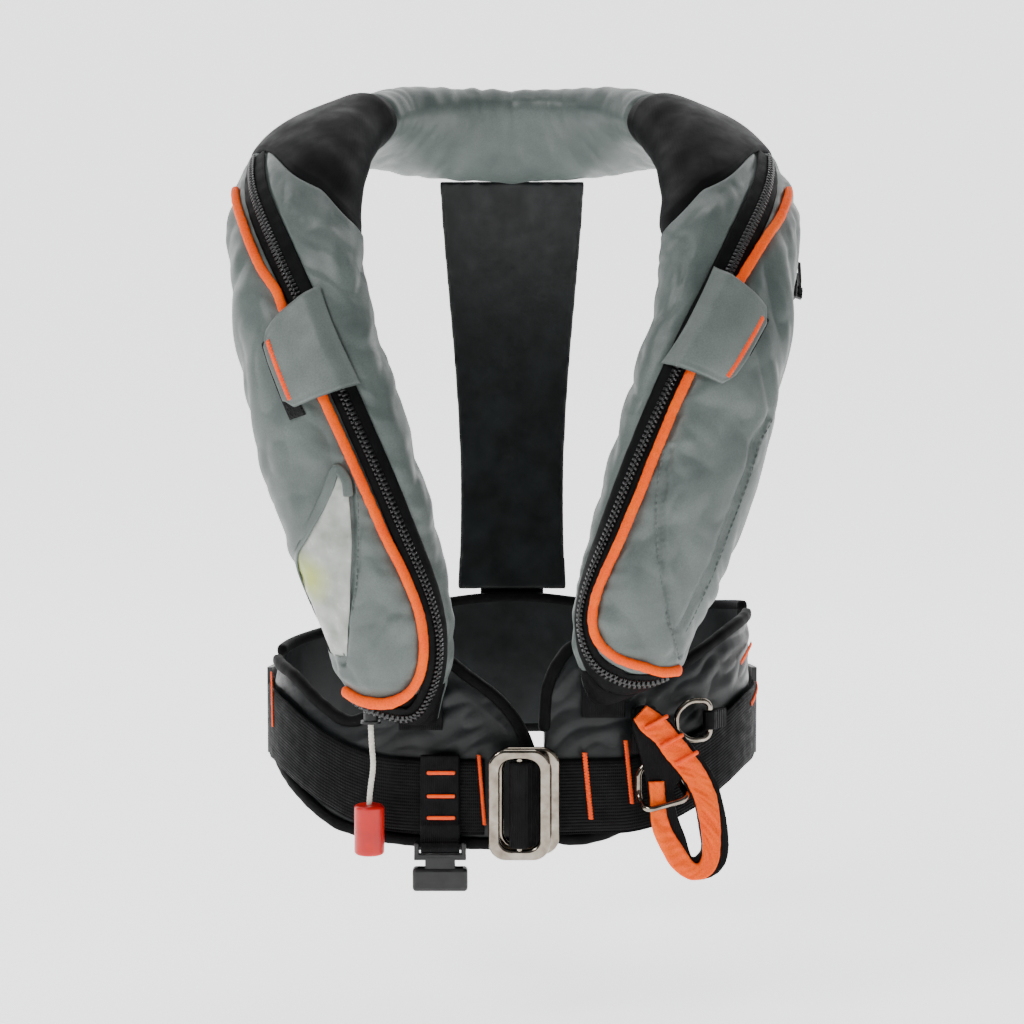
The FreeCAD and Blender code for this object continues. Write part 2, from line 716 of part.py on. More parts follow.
# ---------------------------------------------------------------- belt and back
def strip(turns, offset, thickness, height, centre_z):
    """Webbing round the waist: turns, distance out, thickness, width and its mid-line's height."""
    outer, inner = [], []
    for turn in turns:
        mid = centre_z(turn)
        heights = [mid + height / 2, mid, mid - height / 2]
        inner.append([waist_point(turn, offset, z) for z in heights])
        outer.append([waist_point(turn, offset + thickness, z) for z in heights])
    return lofted_sheet(outer, inner)


SIDE_SLIDE_TURNS = (98.5, 106.5)
SIDE_SLIDE_HEIGHT = 58.0


def side_slide(side):
    """The plastic slide at the flank, where a front belt meets the back belt."""
    turns = [side * turn for turn in spread(SIDE_SLIDE_TURNS[0], SIDE_SLIDE_TURNS[1], 3)]
    return strip(turns, BELT_OFFSET + BELT_THICKNESS + GAP, 3.6, SIDE_SLIDE_HEIGHT, belt_z)


def belt_back():
    turns = spread(SIDE_SLIDE_TURNS[1] + 1, 360 - SIDE_SLIDE_TURNS[1] - 1, 15)
    low = BELT_SIDE_Z - BELT_WIDTH / 2
    inner = [waist_point(turn, BELT_OFFSET, low) for turn in turns]
    outer = [waist_point(turn, BELT_OFFSET + BELT_THICKNESS, low) for turn in turns]
    edges = [spline(outer), line(outer[-1], inner[-1]), spline(inner[::-1]), line(inner[0], outer[0])]
    return Part.Face(Part.Wire(edges)).extrude(V(0, 0, BELT_WIDTH))


# inside of the back panel: height, distance behind the origin, half-width
BACK_PROFILE = [(8, 121, 50), (-50, 129, 46), (-120, 128, 40), (-200, 118, 36), (-274, 103.5, 38)]
BACK_PANEL_THICKNESS = 5.0


def back_panel():
    outer, inner = [], []
    for z, y, half in BACK_PROFILE:
        xs = spread(-half, half, 5)
        inner.append([V(x, y - 6 * (x / 52) ** 2, z) for x in xs])
        outer.append([V(x, y - 6 * (x / 52) ** 2 + BACK_PANEL_THICKNESS, z) for x in xs])
    return thick_sheet(outer, inner)


# outside route of the back strap: height and distance behind the origin of its inner face
STRAP_ROUTE = [(0, 131.5), (-50, 136), (-120, 135.2), (-200, 125.6), (-262, 114.5), (-300, 112),
               (-330, 112), (-368, 112)]
STRAP_HALF_WIDTH = 22.0


def back_strap():
    xs = (-STRAP_HALF_WIDTH, 0, STRAP_HALF_WIDTH)
    inner = [[V(x, y, z) for x in xs] for z, y in STRAP_ROUTE]
    outer = [[V(x, y + BELT_THICKNESS, z) for x in xs] for z, y in STRAP_ROUTE]
    return thick_sheet(outer, inner)


def back_slide():
    """Plastic three-bar slide that takes up the back strap."""
    plate = box(V(0, 0, 0), (60, 4.5, 38), 1.6)
    for z in (8, -8):
        plate = plate.cut(box(V(0, 0, z), (48, 10, 9)))
    plate.rotate(V(0, 0, 0), V(1, 0, 0), -7)
    return moved(plate, V(0, 138.6, -160))


def lobe_hanger(side):
    """Webbing that ties the foot of a lobe to the wing behind it."""
    top = -292 if side < 0 else -284
    foot = top - 44
    rows = [(top, -106.6), (top - 20, -105.4), (foot, -104.6)]
    xs = [44.0, 58.0, 72.0]
    outer = [[side_of(V(x, y - BELT_THICKNESS, z), side) for x in xs] for z, y in rows]
    inner = [[side_of(V(x, y, z), side) for x in xs] for z, y in rows]
    return lofted_sheet(outer, inner)


# ---------------------------------------------------------------- buckle
FRONT_SIZE = (39.0, 71.0)
REAR_SIZE = (42.0, 69.0)
FRAME_CORNER = 11.0
CENTRE_BAR_RADIUS = 2.2
FOLD_RADIUS = 6.6   # outside of the webbing where it goes round a bar


def bar_x(centre, size, sign):
    return centre.x + sign * (size[0] / 2 - FRAME_BAND / 2)


def front_frame():
    frame = frame_plate(FRONT_SIZE[0], FRONT_SIZE[1], FRAME_BAND, FRAME_DEPTH, FRAME_CORNER)
    height = FRONT_SIZE[1] - 8
    bar = cylinder(V(0, 0, -height / 2), V(0, 0, 1), CENTRE_BAR_RADIUS, height)
    return moved(frame.fuse(bar), FRONT_FRAME)


def rear_frame():
    return moved(frame_plate(REAR_SIZE[0], REAR_SIZE[1], FRAME_BAND, FRAME_DEPTH, FRAME_CORNER), REAR_FRAME)


def buckle_hinge():
    """The rear frame's free bar, round which the front frame and its webbing swing."""
    return V(bar_x(REAR_FRAME, REAR_SIZE, 1), REAR_FRAME.y, REAR_FRAME.z)


def extruded(points, z_low, height):
    wire = Part.makePolygon([V(x, y, z_low) for x, y in points + points[:1]])
    return Part.Face(wire).extrude(V(0, 0, height))


def front_fold():
    """Webbing round the front frame's middle bar, led back through the rear frame."""
    low = FRONT_FRAME.z - BELT_WIDTH / 2
    x, y = FRONT_FRAME.x, FRONT_FRAME.y
    coil = cylinder(V(x, y, low), V(0, 0, 1), FOLD_RADIUS, BELT_WIDTH)
    tail = extruded([(x + 2, y - 5.4), (x + 15.5, y + 7.5), (x + 15.5, y + 13.5), (x + 11, y + 13.5), (x - 5, y + 3)],
                    low, BELT_WIDTH)
    bore = cylinder(V(x, y, low - 1), V(0, 0, 1), CENTRE_BAR_RADIUS + GAP, BELT_WIDTH + 2)
    return coil.fuse(tail).cut(bore)


def fold_turn():
    """Where the right belt starts, just left of the rear frame's fixed bar."""
    return waist_turn(bar_x(REAR_FRAME, REAR_SIZE, -1) - 14)


def belt_right():
    """The right belt, with its sewn fold round the rear frame's bar."""
    band = strip(spread(fold_turn(), -FLANK_TURN, 12), BELT_OFFSET, BELT_THICKNESS, BELT_WIDTH, belt_z)
    low = BELT_FRONT_Z - BELT_WIDTH / 2
    x, y = bar_x(REAR_FRAME, REAR_SIZE, -1), REAR_FRAME.y
    coil = cylinder(V(x, y, low), V(0, 0, 1), FOLD_RADIUS, BELT_WIDTH)
    inner = waist_point(fold_turn() - 1, BELT_OFFSET)
    outer = waist_point(fold_turn() - 1, BELT_OFFSET + BELT_THICKNESS)
    tail = extruded([(inner.x, inner.y), (outer.x, outer.y), (x - 4, y - 5.0), (x + 1, y + 6.0)], low, BELT_WIDTH)
    hole = box(V(x, y, REAR_FRAME.z), (FRAME_BAND + 1.0, FRAME_DEPTH + 1.0, BELT_WIDTH + 8))
    return band.fuse(coil).fuse(tail).cut(hole).removeSplitter()


def belt_left():
    start = waist_turn(24)
    return strip(spread(start, FLANK_TURN, 12), BELT_OFFSET, BELT_THICKNESS, BELT_WIDTH, belt_z)


# ---------------------------------------------------------------- crotch strap socket
SOCKET_BAR = V(-45.6, -113.8, -409.5)
SOCKET_BAR_RADIUS = 2.0
STRAP_25 = 25.0
SOCKET_MOUTH = (35.0, 10.5, 15.0)


def crotch_loop():
    """25 mm webbing sewn over the belt, with a loop round the socket's bar."""
    loop_outer, loop_inner = 4.2, 2.4
    half = STRAP_25 / 2
    x, y, z = SOCKET_BAR
    coil = cylinder(V(x - half, y, z), V(1, 0, 0), loop_outer, STRAP_25)
    tail = Part.makeBox(STRAP_25, 4.2, 14, V(x - half, y - 0.2, z + 1))
    loop = coil.fuse(tail).cut(cylinder(V(x - half - 1, y, z), V(1, 0, 0), loop_inner, STRAP_25 + 2))
    strap = Part.makeBox(STRAP_25, BELT_THICKNESS, 44, V(x - half, y + 1.6, z + 15))
    return loop.fuse(strap)


def crotch_socket():
    """Female half of a 25 mm side-release buckle, mouth down."""
    x, y, z = SOCKET_BAR
    mouth = box(V(x, y, z - 20.5), SOCKET_MOUTH, 2.4)
    spine = box(V(x, y, z - 10.5), (19, 8.0, 9))
    plate = box(V(x, y, z - 6.2), (33, 7.6, 3.2))
    cheeks = [box(V(x + dx, y, z - 1.6), (3.2, 7.6, 10), 1.2) for dx in (-14.9, 14.9)]
    shape = mouth.fuse(spine).fuse(plate)
    for cheek in cheeks:
        shape = shape.fuse(cheek)
    shape = shape.fuse(cylinder(V(x - 14, y, z), V(1, 0, 0), SOCKET_BAR_RADIUS, 28))
    shape = shape.cut(box(V(x, y, z - 21.0), (29, 6.4, 18)))
    return shape.cut(box(V(x, y, z - 14.0), (14, 4.6, 14)))


# ---------------------------------------------------------------- tether loop
LOOP_Y = -112.5          # middle of the webbing's thickness
WEBBING_DEPTH = 5.0
SLEEVE_DEPTH = 3.0
LOOP_TILT = 12.0         # degrees the loop leans back towards the flank
LOOP_HINGE_TOP = V(74, LOOP_Y, -323)
LOOP_HINGE_LOW = V(80.5, LOOP_Y, -386)

# Outlines of the loop as (x, z) before it is tilted
WEBBING_OUTSIDE = [(76, -327), (83, -319), (95, -325), (104, -334), (113, -344), (122, -356), (129, -367),
                   (133.6, -381), (136.8, -396), (138.2, -411), (136.5, -422), (130, -430), (121, -433),
                   (112, -431.5), (103, -425), (95.5, -413), (90.5, -402), (87.5, -391), (86.6, -379),
                   (84.5, -364), (80.5, -349), (77, -337)]
WEBBING_HOLE = [(108.5, -368), (114.5, -379), (118, -392), (120.2, -406), (119.5, -416), (116, -418.5),
                (112, -411), (108, -399), (104.5, -389), (102.8, -379), (103.8, -371)]
SLEEVE_OUTSIDE = [(84, -318.5), (95, -326.5), (103, -336), (111, -346), (119.5, -358), (126, -370),
                  (129.7, -381), (131.6, -395), (131.9, -411), (130, -423), (124, -430.5), (115.4, -432.5),
                  (107.6, -429.5), (100, -422.5), (93.8, -411.5), (89.5, -402), (87.3, -392), (86.8, -380),
                  (85.8, -367.5)]
SLEEVE_INSIDE = [(76, -327), (81, -335), (89.5, -342.5), (97.3, -353.5), (106.4, -364.5), (114, -377.5),
                 (117.6, -390), (120.2, -405), (120.4, -416), (118, -421.5), (113.5, -419.5), (106.5, -408.5),
                 (100.6, -399), (97.2, -389), (96.2, -378.5), (95.3, -367.5)]


def tilted(shape):
    """Leans a loop piece back about the upright through its upper anchor."""
    shape = shape.copy()
    shape.rotate(LOOP_HINGE_TOP, V(0, 0, 1), LOOP_TILT)
    return shape


def at_loop(pairs, y):
    """Outline points, spread so that the tilt keeps their place seen from the front."""
    stretch = 1 / math.cos(math.radians(LOOP_TILT))
    return [V(LOOP_HINGE_TOP.x + (x - LOOP_HINGE_TOP.x) * stretch, y, z) for x, z in pairs]


def tether_webbing():
    """The webbing loop: both its ends are sewn into one root."""
    front = LOOP_Y - WEBBING_DEPTH / 2
    outside = Part.Face(Part.Wire([spline(at_loop(WEBBING_OUTSIDE, front), True)]))
    hole = Part.Face(Part.Wire([spline(at_loop(WEBBING_HOLE, front), True)]))
    return tilted(outside.cut(hole).extrude(V(0, WEBBING_DEPTH, 0)))


def tether_sleeve():
    """The coloured sleeve sewn over the front of the loop."""
    front = LOOP_Y - WEBBING_DEPTH / 2 - GAP - SLEEVE_DEPTH
    outside, inside = at_loop(SLEEVE_OUTSIDE, front), at_loop(SLEEVE_INSIDE, front)
    wire = Part.Wire([spline(outside), line(outside[-1], inside[-1]), spline(inside[::-1]),
                      line(inside[0], outside[0])])
    return tilted(Part.Face(wire).extrude(V(0, SLEEVE_DEPTH, 0)))


# cross stitches of the loop's upper leg: middle as (x, z)
TETHER_TACKS = [(88, -328.5), (98, -341), (107.5, -352.5)]
TACK_LENGTH = 17.0
TACK_SECTION = 2.6


def tether_tacks():
    front = LOOP_Y - WEBBING_DEPTH / 2 - GAP - SLEEVE_DEPTH - GAP - TACK_SECTION / 2
    bars = []
    for spot in at_loop(TETHER_TACKS, front):
        bar = box(V(0, 0, 0), (TACK_LENGTH, TACK_SECTION, TACK_SECTION), 0.8)
        bar.rotate(V(0, 0, 0), V(0, 1, 0), -26)
        bars.append(moved(bar, spot + V(1.5, 0, 0)))
    return tilted(Part.makeCompound(bars))


def tether_anchor():
    """The bar-tacked stack of webbing on the belt that carries the loop's root."""
    depth = 6.0
    back_of_loop = LOOP_Y + WEBBING_DEPTH / 2 + GAP
    return tilted(box(V(85, back_of_loop + depth / 2, -336), (16, depth, 30), 1.5))


RING_ROD = 1.9


def bent_ring(points, centre):
    """A closed wire ring through corner points, with rounded corners."""
    corners = [centre + p for p in points]
    middle = (corners[0] + corners[-1]) * 0.5
    wire, _ = rounded_path([middle] + corners + [middle], 0.42)
    ring = Part.Wire([Part.makeCircle(RING_ROD, middle, corners[0] - middle)])
    return wire.makePipeShell([ring], True, True)


LOWER_RING = V(94.0, LOOP_Y, -369)
LOWER_RING_TILT = 14.0


def lower_ring():
    """Steel ring on the loop's inner leg: its straight bar in front of the leg, its bow behind it."""
    front = -(WEBBING_DEPTH / 2 + GAP + SLEEVE_DEPTH + RING_ROD + 3 * GAP)
    back = WEBBING_DEPTH / 2 + RING_ROD + GAP
    points = [V(14, front, -13), V(14, back, -7), V(9, back, 13), V(-10, back, 13), V(-15, back, -7),
              V(-15, front, -13)]
    ring = bent_ring(points, at_loop([(LOWER_RING.x, LOWER_RING.z)], LOOP_Y)[0])
    ring.rotate(at_loop([(LOWER_RING.x, LOWER_RING.z)], LOOP_Y)[0], V(0, 1, 0), -LOWER_RING_TILT)
    return tilted(ring)


UPPER_RING_BAR = V(126.5, -86.0, -332.5)   # its straight bar stands upright
UPPER_RING_LEAN = 20.0                    # degrees from the XZ plane, along the flank


def upper_ring():
    points = [V(0, 0, 12), V(-14, 0, 13), V(-23, 0, 6), V(-23, 0, -6), V(-14, 0, -13), V(0, 0, -12)]
    ring = bent_ring(points, UPPER_RING_BAR)
    ring.rotate(UPPER_RING_BAR, V(0, 0, 1), UPPER_RING_LEAN)
    return ring


def ring_keeper():
    """The webbing fold that holds the upper ring's bar on the belt."""
    x, y, z = UPPER_RING_BAR
    half = 6.2
    coil = cylinder(V(x, y, z - half), V(0, 0, 1), 4.4, 2 * half)
    tail = extruded([(x - 3, y + 2), (x + 4.2, y - 1), (x + 12, y + 10), (x + 8, y + 12)], z - half, 2 * half)
    return coil.fuse(tail).cut(cylinder(V(x, y, z - 10), V(0, 0, 1), RING_ROD + GAP, 20))


# ---------------------------------------------------------------- stitching on the belt
STITCH = 1.2


def belt_stitch(x, half_height, width=2.4, dz=0.0):
    """An upright line of stitches on the front belt at that x."""
    turn = waist_turn(x)
    half = abs(waist_turn(x + width / 2) - waist_turn(x - width / 2)) / 2
    low_z = belt_z(turn) + dz
    return strip([turn - half, turn, turn + half], BELT_OFFSET + BELT_THICKNESS + GAP / 2, STITCH,
                 2 * half_height, lambda _: low_z)


def belt_tacks_right():
    """Stitch lines of the right belt: one on the buckle fold, one at the flank."""
    fold = cylinder(V(-19.8, -117.6, BELT_FRONT_Z - 22), V(0, 0, 1), STITCH, 44)
    return Part.makeCompound([fold, belt_stitch(-147, 18)])


def belt_tacks_left():
    return Part.makeCompound([belt_stitch(45, 22), belt_stitch(70, 20)])


def crotch_tacks():
    x, y, _ = SOCKET_BAR
    front = y + 1.6 - GAP / 2 - STITCH / 2
    return Part.makeCompound([box(V(x + 0.6, front, z), (18, STITCH, 2.6), 0.4) for z in (-362, -377, -391)])


# ---------------------------------------------------------------- one file per node
def export(name, shape):
    """Writes one node and says what it holds."""
    shape.exportStep(os.path.join(OUT, name + ".step"))
    print(f"{name:22s} solids {len(shape.Solids)} valid {shape.isValid()} volume {shape.Volume:9.0f}")


def yoke_nodes():
    nodes = {"collar_cover": tube_cover(nape_stops(SHOULDER_END), SKIN), "bladder": bladder()}
    for name, side in (("right", -1), ("left", 1)):
        nodes["cover_" + name] = cover_lobe(side)
        nodes["shoulder_" + name] = shoulder_panel(side)
        nodes["zip_" + name] = zip_tape(side)
        nodes["piping_" + name] = piping(side)
        nodes["tab_" + name] = tab(side)
        nodes["hook_" + name] = hook_pad(side)
        nodes["lobe_hanger_" + name] = lobe_hanger(side)
    nodes["cover_right"] = nodes["cover_right"].cut(cord_passage())
    nodes["window"] = window(-1)
    nodes["side_zip"] = side_zip()
    nodes["zip_slider"] = slider_body()
    nodes["zip_pull"] = pull_tab()
    return nodes


def stowed_nodes():
    return {
        "gas_cylinder": gas_cylinder(), "inflator_body": inflator_body(), "sensor_cap": sensor_cap(),
        "status_tag": status_tag(), "firing_lever": lever(), "oral_tube": oral_tube(),
        "oral_tube_cap": tube_cap(), "whistle": whistle(), "grommet": grommet(),
        "pull_cord_inner": inner_cord(), "pull_cord": free_cord(), "pull_toggle": toggle(),
    }


def waist_nodes():
    nodes = {
        "waist_wing_right": waist_wing(-1, waist_turn(14), RIGHT_WING_TOP, RIGHT_WING_BOTTOM),
        "waist_wing_left": waist_wing(1, waist_turn(17), LEFT_WING_TOP, LEFT_WING_BOTTOM),
        "back_wing": back_wing(), "belt_right": belt_right(), "belt_left": belt_left(),
        "belt_back": belt_back(), "back_panel": back_panel(), "back_strap": back_strap(),
        "back_slide": back_slide(), "belt_tacks_right": belt_tacks_right(),
        "belt_tacks_left": belt_tacks_left(), "side_slide_right": side_slide(-1),
        "side_slide_left": side_slide(1),
    }
    return nodes


def hardware_nodes():
    return {
        "buckle_front_frame": front_frame(), "buckle_rear_frame": rear_frame(),
        "belt_end_fold": front_fold(), "crotch_loop": crotch_loop(), "crotch_socket": crotch_socket(),
        "crotch_tacks": crotch_tacks(), "tether_webbing": tether_webbing(), "tether_sleeve": tether_sleeve(),
        "tether_tacks": tether_tacks(), "tether_anchor": tether_anchor(), "lower_ring": lower_ring(),
        "upper_ring": upper_ring(), "ring_keeper": ring_keeper(),
    }


def main():
    os.makedirs(OUT, exist_ok=True)
    for group in (yoke_nodes, stowed_nodes, waist_nodes, hardware_nodes):
        for name, shape in group().items():
            export(name, shape)


if __name__ == "__main__":
    main()
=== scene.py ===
"""Looks of the inflatable life jacket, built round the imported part.

Shapes are worked out in millimetres in the part's own frame, drawn for the wearer's left and mirrored for
the right, and turned into metres where a mesh is made.
"""

import math
from itertools import product

import bmesh
import bpy
import numpy as np
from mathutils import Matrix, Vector


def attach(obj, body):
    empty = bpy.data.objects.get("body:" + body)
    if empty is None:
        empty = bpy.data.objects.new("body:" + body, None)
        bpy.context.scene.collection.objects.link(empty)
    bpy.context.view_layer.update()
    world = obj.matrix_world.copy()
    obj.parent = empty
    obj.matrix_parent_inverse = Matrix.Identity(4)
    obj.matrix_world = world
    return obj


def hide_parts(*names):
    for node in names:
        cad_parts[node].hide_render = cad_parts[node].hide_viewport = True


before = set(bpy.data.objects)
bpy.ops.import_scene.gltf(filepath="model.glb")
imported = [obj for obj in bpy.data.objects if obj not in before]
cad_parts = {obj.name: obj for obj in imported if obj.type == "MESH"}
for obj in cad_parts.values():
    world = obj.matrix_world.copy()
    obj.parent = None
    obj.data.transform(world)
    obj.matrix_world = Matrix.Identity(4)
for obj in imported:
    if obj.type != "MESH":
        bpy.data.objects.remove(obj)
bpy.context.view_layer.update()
MM = 0.001
TAU = 2 * math.pi
LEFT, RIGHT = 1, -1
BOTH = (("right", RIGHT), ("left", LEFT))


# ---------------------------------------------------------------- camera, light and floor
CAMERA_PLACE = (0.0, -2.120, 0.030)
CAMERA_AIM = (0.0, -0.120, -0.195)
CAMERA_LENS = 113.2
FLOOR_Z = -0.535


def look_at(thing, aim):
    thing.rotation_euler = (Vector(aim) - thing.location).to_track_quat("-Z", "Y").to_euler()


def camera():
    data = bpy.data.cameras.new("camera")
    data.lens = CAMERA_LENS
    data.sensor_width = 36
    data.clip_start, data.clip_end = 0.05, 60
    made = bpy.data.objects.new("camera", data)
    made.location = CAMERA_PLACE
    look_at(made, CAMERA_AIM)
    bpy.context.scene.collection.objects.link(made)
    bpy.context.scene.camera = made


def area_light(name, place, aim, size, power, tint=(1, 1, 1)):
    data = bpy.data.lights.new(name, "AREA")
    data.size, data.energy, data.color = size, power, tint
    made = bpy.data.objects.new(name, data)
    made.location = place
    look_at(made, aim)
    bpy.context.scene.collection.objects.link(made)


def backdrop():
    """A pale floor that curves up into a pale wall."""
    wall_y, radius, half, high = 3.2, 1.6, 9.0, 7.0
    outline = [(-6.0, FLOOR_Z), (wall_y - radius, FLOOR_Z)]
    for k in range(1, 13):
        a = math.pi / 2 * k / 12
        outline.append((wall_y - radius + radius * math.sin(a), FLOOR_Z + radius * (1 - math.cos(a))))
    outline.append((wall_y, high))
    verts = [(x, y, z) for y, z in outline for x in (-half, half)]
    faces = [(2 * k, 2 * k + 1, 2 * k + 3, 2 * k + 2) for k in range(len(outline) - 1)]
    mesh = bpy.data.meshes.new("backdrop")
    mesh.from_pydata(verts, [], faces)
    mesh.shade_smooth()
    paint = bpy.data.materials.new("backdrop")
    paint.use_nodes = True
    shader = paint.node_tree.nodes["Principled BSDF"]
    shader.inputs["Base Color"].default_value = (0.90, 0.90, 0.90, 1)
    shader.inputs["Roughness"].default_value = 0.9
    shader.inputs["Emission Color"].default_value = (1, 1, 1, 1)
    shader.inputs["Emission Strength"].default_value = 1.6
    mesh.materials.append(paint)
    made = bpy.data.objects.new("backdrop", mesh)
    bpy.context.scene.collection.objects.link(made)


def studio():
    world = bpy.data.worlds.new("world")
    world.use_nodes = True
    sky = world.node_tree.nodes["Background"]
    sky.inputs["Color"].default_value = (0.80, 0.83, 0.86, 1)
    sky.inputs["Strength"].default_value = 0.20
    bpy.context.scene.world = world
    middle = (0, -0.05, -0.2)
    area_light("key", (-1.7, -1.7, 1.6), middle, 0.8, 40)
    area_light("fill", (1.9, -1.9, 0.3), middle, 1.4, 3)
    area_light("top", (0.1, 0.2, 2.2), middle, 1.0, 12)
    backdrop()


camera()
studio()


# ---------------------------------------------------------------- small maths
def unit(v):
    return v / np.maximum(np.linalg.norm(v, axis=-1, keepdims=True), 1e-9)


def dot(a, b):
    return (a * b).sum(-1, keepdims=True)


def smooth(x):
    x = np.clip(x, 0, 1)
    return x * x * (3 - 2 * x)


def catmull(p, q, r, s, t):
    return 0.5 * (2 * q + (r - p) * t + (2 * p - 5 * q + 4 * r - s) * t ** 2 + (3 * q - p - 3 * r + s) * t ** 3)


def run_of(line):
    """Distance run at every point of a line."""
    return np.concatenate([[0], np.cumsum(np.linalg.norm(np.diff(line, axis=0), axis=1))])


def resampled(line, run, count):
    at = np.linspace(0, run[-1], count)
    return np.stack([np.interp(at, run, column) for column in line.T], axis=1)


def curve_through(points, count, closed=False):
    """Evenly spaced points on a smooth curve through the given ones."""
    points = np.asarray(points, float)
    if closed:
        points = np.vstack([points[-1:], points, points[:2]])
    else:
        points = np.vstack([2 * points[0] - points[1], points, 2 * points[-1] - points[-2]])
    t = np.linspace(0, 1, 24, endpoint=False)[:, None]
    spans = [catmull(p, q, r, s, t) for p, q, r, s in zip(points, points[1:], points[2:], points[3:])]
    line = np.vstack(spans + [points[-2:-1]])
    return resampled(line, run_of(line), count)


def far_from(points, line):
    """Distance from each point to the nearest point of a line."""
    flat = points.reshape(-1, 3)
    near = np.full(len(flat), np.inf)
    for spot in line:
        near = np.minimum(near, ((flat - spot) ** 2).sum(1))
    return np.sqrt(near).reshape(points.shape[:-1])


class Noise:
    """Seeded gradient noise of points, from about -1 to 1."""

    def __init__(self, seed):
        rng = np.random.default_rng(seed)
        self.order = np.tile(rng.permutation(256), 3)
        self.slopes = unit(rng.normal(size=(256, 3)))

    def __call__(self, points, octaves=1):
        total, size = 0.0, 1.0
        for _ in range(octaves):
            total = total + size * self.single(points / size + 17 * size)
            size *= 0.5
        return total

    def of(self, *coordinates, octaves=1):
        """Noise at points given by their coordinates, which may be grids or plain numbers."""
        return self(np.stack(np.broadcast_arrays(*coordinates), -1), octaves)

    def single(self, points):
        cell = np.floor(points).astype(int)
        inside = points - cell
        fade = inside ** 3 * (inside * (inside * 6 - 15) + 10)
        total = 0.0
        for corner in product((0, 1), repeat=3):
            x, y, z = np.moveaxis((cell + corner) & 255, -1, 0)
            slope = self.slopes[self.order[self.order[self.order[x] + y] + z]]
            share = np.prod(np.where(np.array(corner) == 1, fade, 1 - fade), axis=-1)
            total = total + share * (slope * (inside - corner)).sum(-1)
        return total * 1.7


# ---------------------------------------------------------------- the lobe's surface, as in the part
SECTION_POWER = 2.4
BACK_FLATNESS = 0.8
STATIONS = np.array([
    (77, -118, -324, 0.22, -0.96, -0.10, 24, 11),
    (74, -124, -304, 0.24, -0.97, -0.04, 31, 20),
    (77, -132, -262, 0.28, -0.96, 0.00, 38, 26),
    (94, -137, -202, 0.32, -0.94, 0.05, 43, 28),
    (112, -135, -146, 0.37, -0.91, 0.12, 44, 28),
    (126, -124, -96, 0.40, -0.86, 0.30, 43, 27),
    (134, -100, -48, 0.40, -0.75, 0.52, 42, 26),
    (137, -64, -8, 0.38, -0.52, 0.76, 41, 25),
    (130, -22, 22, 0.34, -0.22, 0.92, 40, 23),
    (114, 20, 38, 0.28, 0.12, 0.95, 39, 21),
    (86, 60, 43, 0.20, 0.45, 0.87, 38, 20),
    (46, 88, 40, 0.12, 0.66, 0.74, 37, 19),
    (0, 97, 38, 0.00, 0.72, 0.69, 36, 18),
])
NAPE = len(STATIONS) - 1
LEFT_TIP_LIFT = (17, 13, 5)
TIP_ROUNDING = 0.32   # the lobe closes over this share of its first station


def station_table(side):
    rows = STATIONS.copy()
    if side == LEFT:
        rows[:3, 2] += LEFT_TIP_LIFT
    beyond = STATIONS[-2::-1] * (-1, 1, 1, -1, 1, 1, 1, 1)
    return np.vstack([2 * rows[0] - rows[1], rows, beyond])


TABLES = {side: station_table(side) for side in (LEFT, RIGHT)}


def yoke_rows(u, side):
    table = TABLES[side]
    k = np.clip(np.floor(u).astype(int), 0, len(table) - 4)
    return catmull(table[k], table[k + 1], table[k + 2], table[k + 3], (u - k)[..., None])


def yoke_frame(u, side):
    """Centre, tangent, normal, outward width direction, half-width and half-thickness."""
    u = np.asarray(u, float)
    row = yoke_rows(u, side)
    tangent = unit(yoke_rows(u + 0.02, side)[..., :3] - yoke_rows(u - 0.02, side)[..., :3])
    normal = unit(row[..., 3:6] - tangent * dot(row[..., 3:6], tangent))
    return row[..., :3], tangent, normal, np.cross(tangent, normal), row[..., 6], row[..., 7]


def yoke_surface(u, turn, lift=0.0, side=LEFT):
    """Points on the lobe, by station and by turn, the angle in a section.

    A turn of 0 is the outer edge, a quarter the front, and a half the neck side.
    """
    u, turn, lift = np.broadcast_arrays(np.asarray(u, float), turn, lift)
    centre, _, normal, width, half_width, half_thickness = yoke_frame(u, side)
    closing = np.sqrt(np.clip(1 - (np.clip(TIP_ROUNDING - u, 0, TIP_ROUNDING) / TIP_ROUNDING) ** 2, 0.0004, 1))
    c, s = np.cos(turn), np.sin(turn)
    a = half_width * closing + lift * closing
    b = (half_thickness * closing + lift * closing) * np.where(s < 0, BACK_FLATNESS, 1.0)
    reach = (np.abs(c / a) ** SECTION_POWER + np.abs(s / b) ** SECTION_POWER) ** (-1 / SECTION_POWER)
    return centre + width * (reach * c)[..., None] + normal * (reach * s)[..., None]


def share_turn(u, share, side=LEFT):
    """The turn of a seam at that share of the half-width, on the front."""
    _, _, _, _, a, b = yoke_frame(u, side)
    share = np.clip(share, -0.9995, 0.9995)
    up = (1 - np.abs(share) ** SECTION_POWER) ** (1 / SECTION_POWER)
    return np.arctan2(b * up, a * share)


def route_on_yoke(stops, spacing, side):
    """Evenly spaced (u, turn) along a seam through (u, share) stops."""
    line = curve_through(stops, 400)
    line[:, 1] = share_turn(line[:, 0], line[:, 1], side)
    run = run_of(yoke_surface(line[:, 0], line[:, 1], 0, side))
    line = resampled(line, run, int(run[-1] / spacing) + 1)
    return line[:, 0], line[:, 1]


def surface_frame(u, turn, side):
    """Direction along a route, direction across it and the outward normal, on the lobe."""
    here = yoke_surface(u, turn, 0, side)
    along = unit(np.gradient(here, axis=0))
    outward = unit(yoke_surface(u, turn, 1, side) - here)
    across = unit(np.cross(outward, along))
    return along, across, unit(np.cross(along, across))


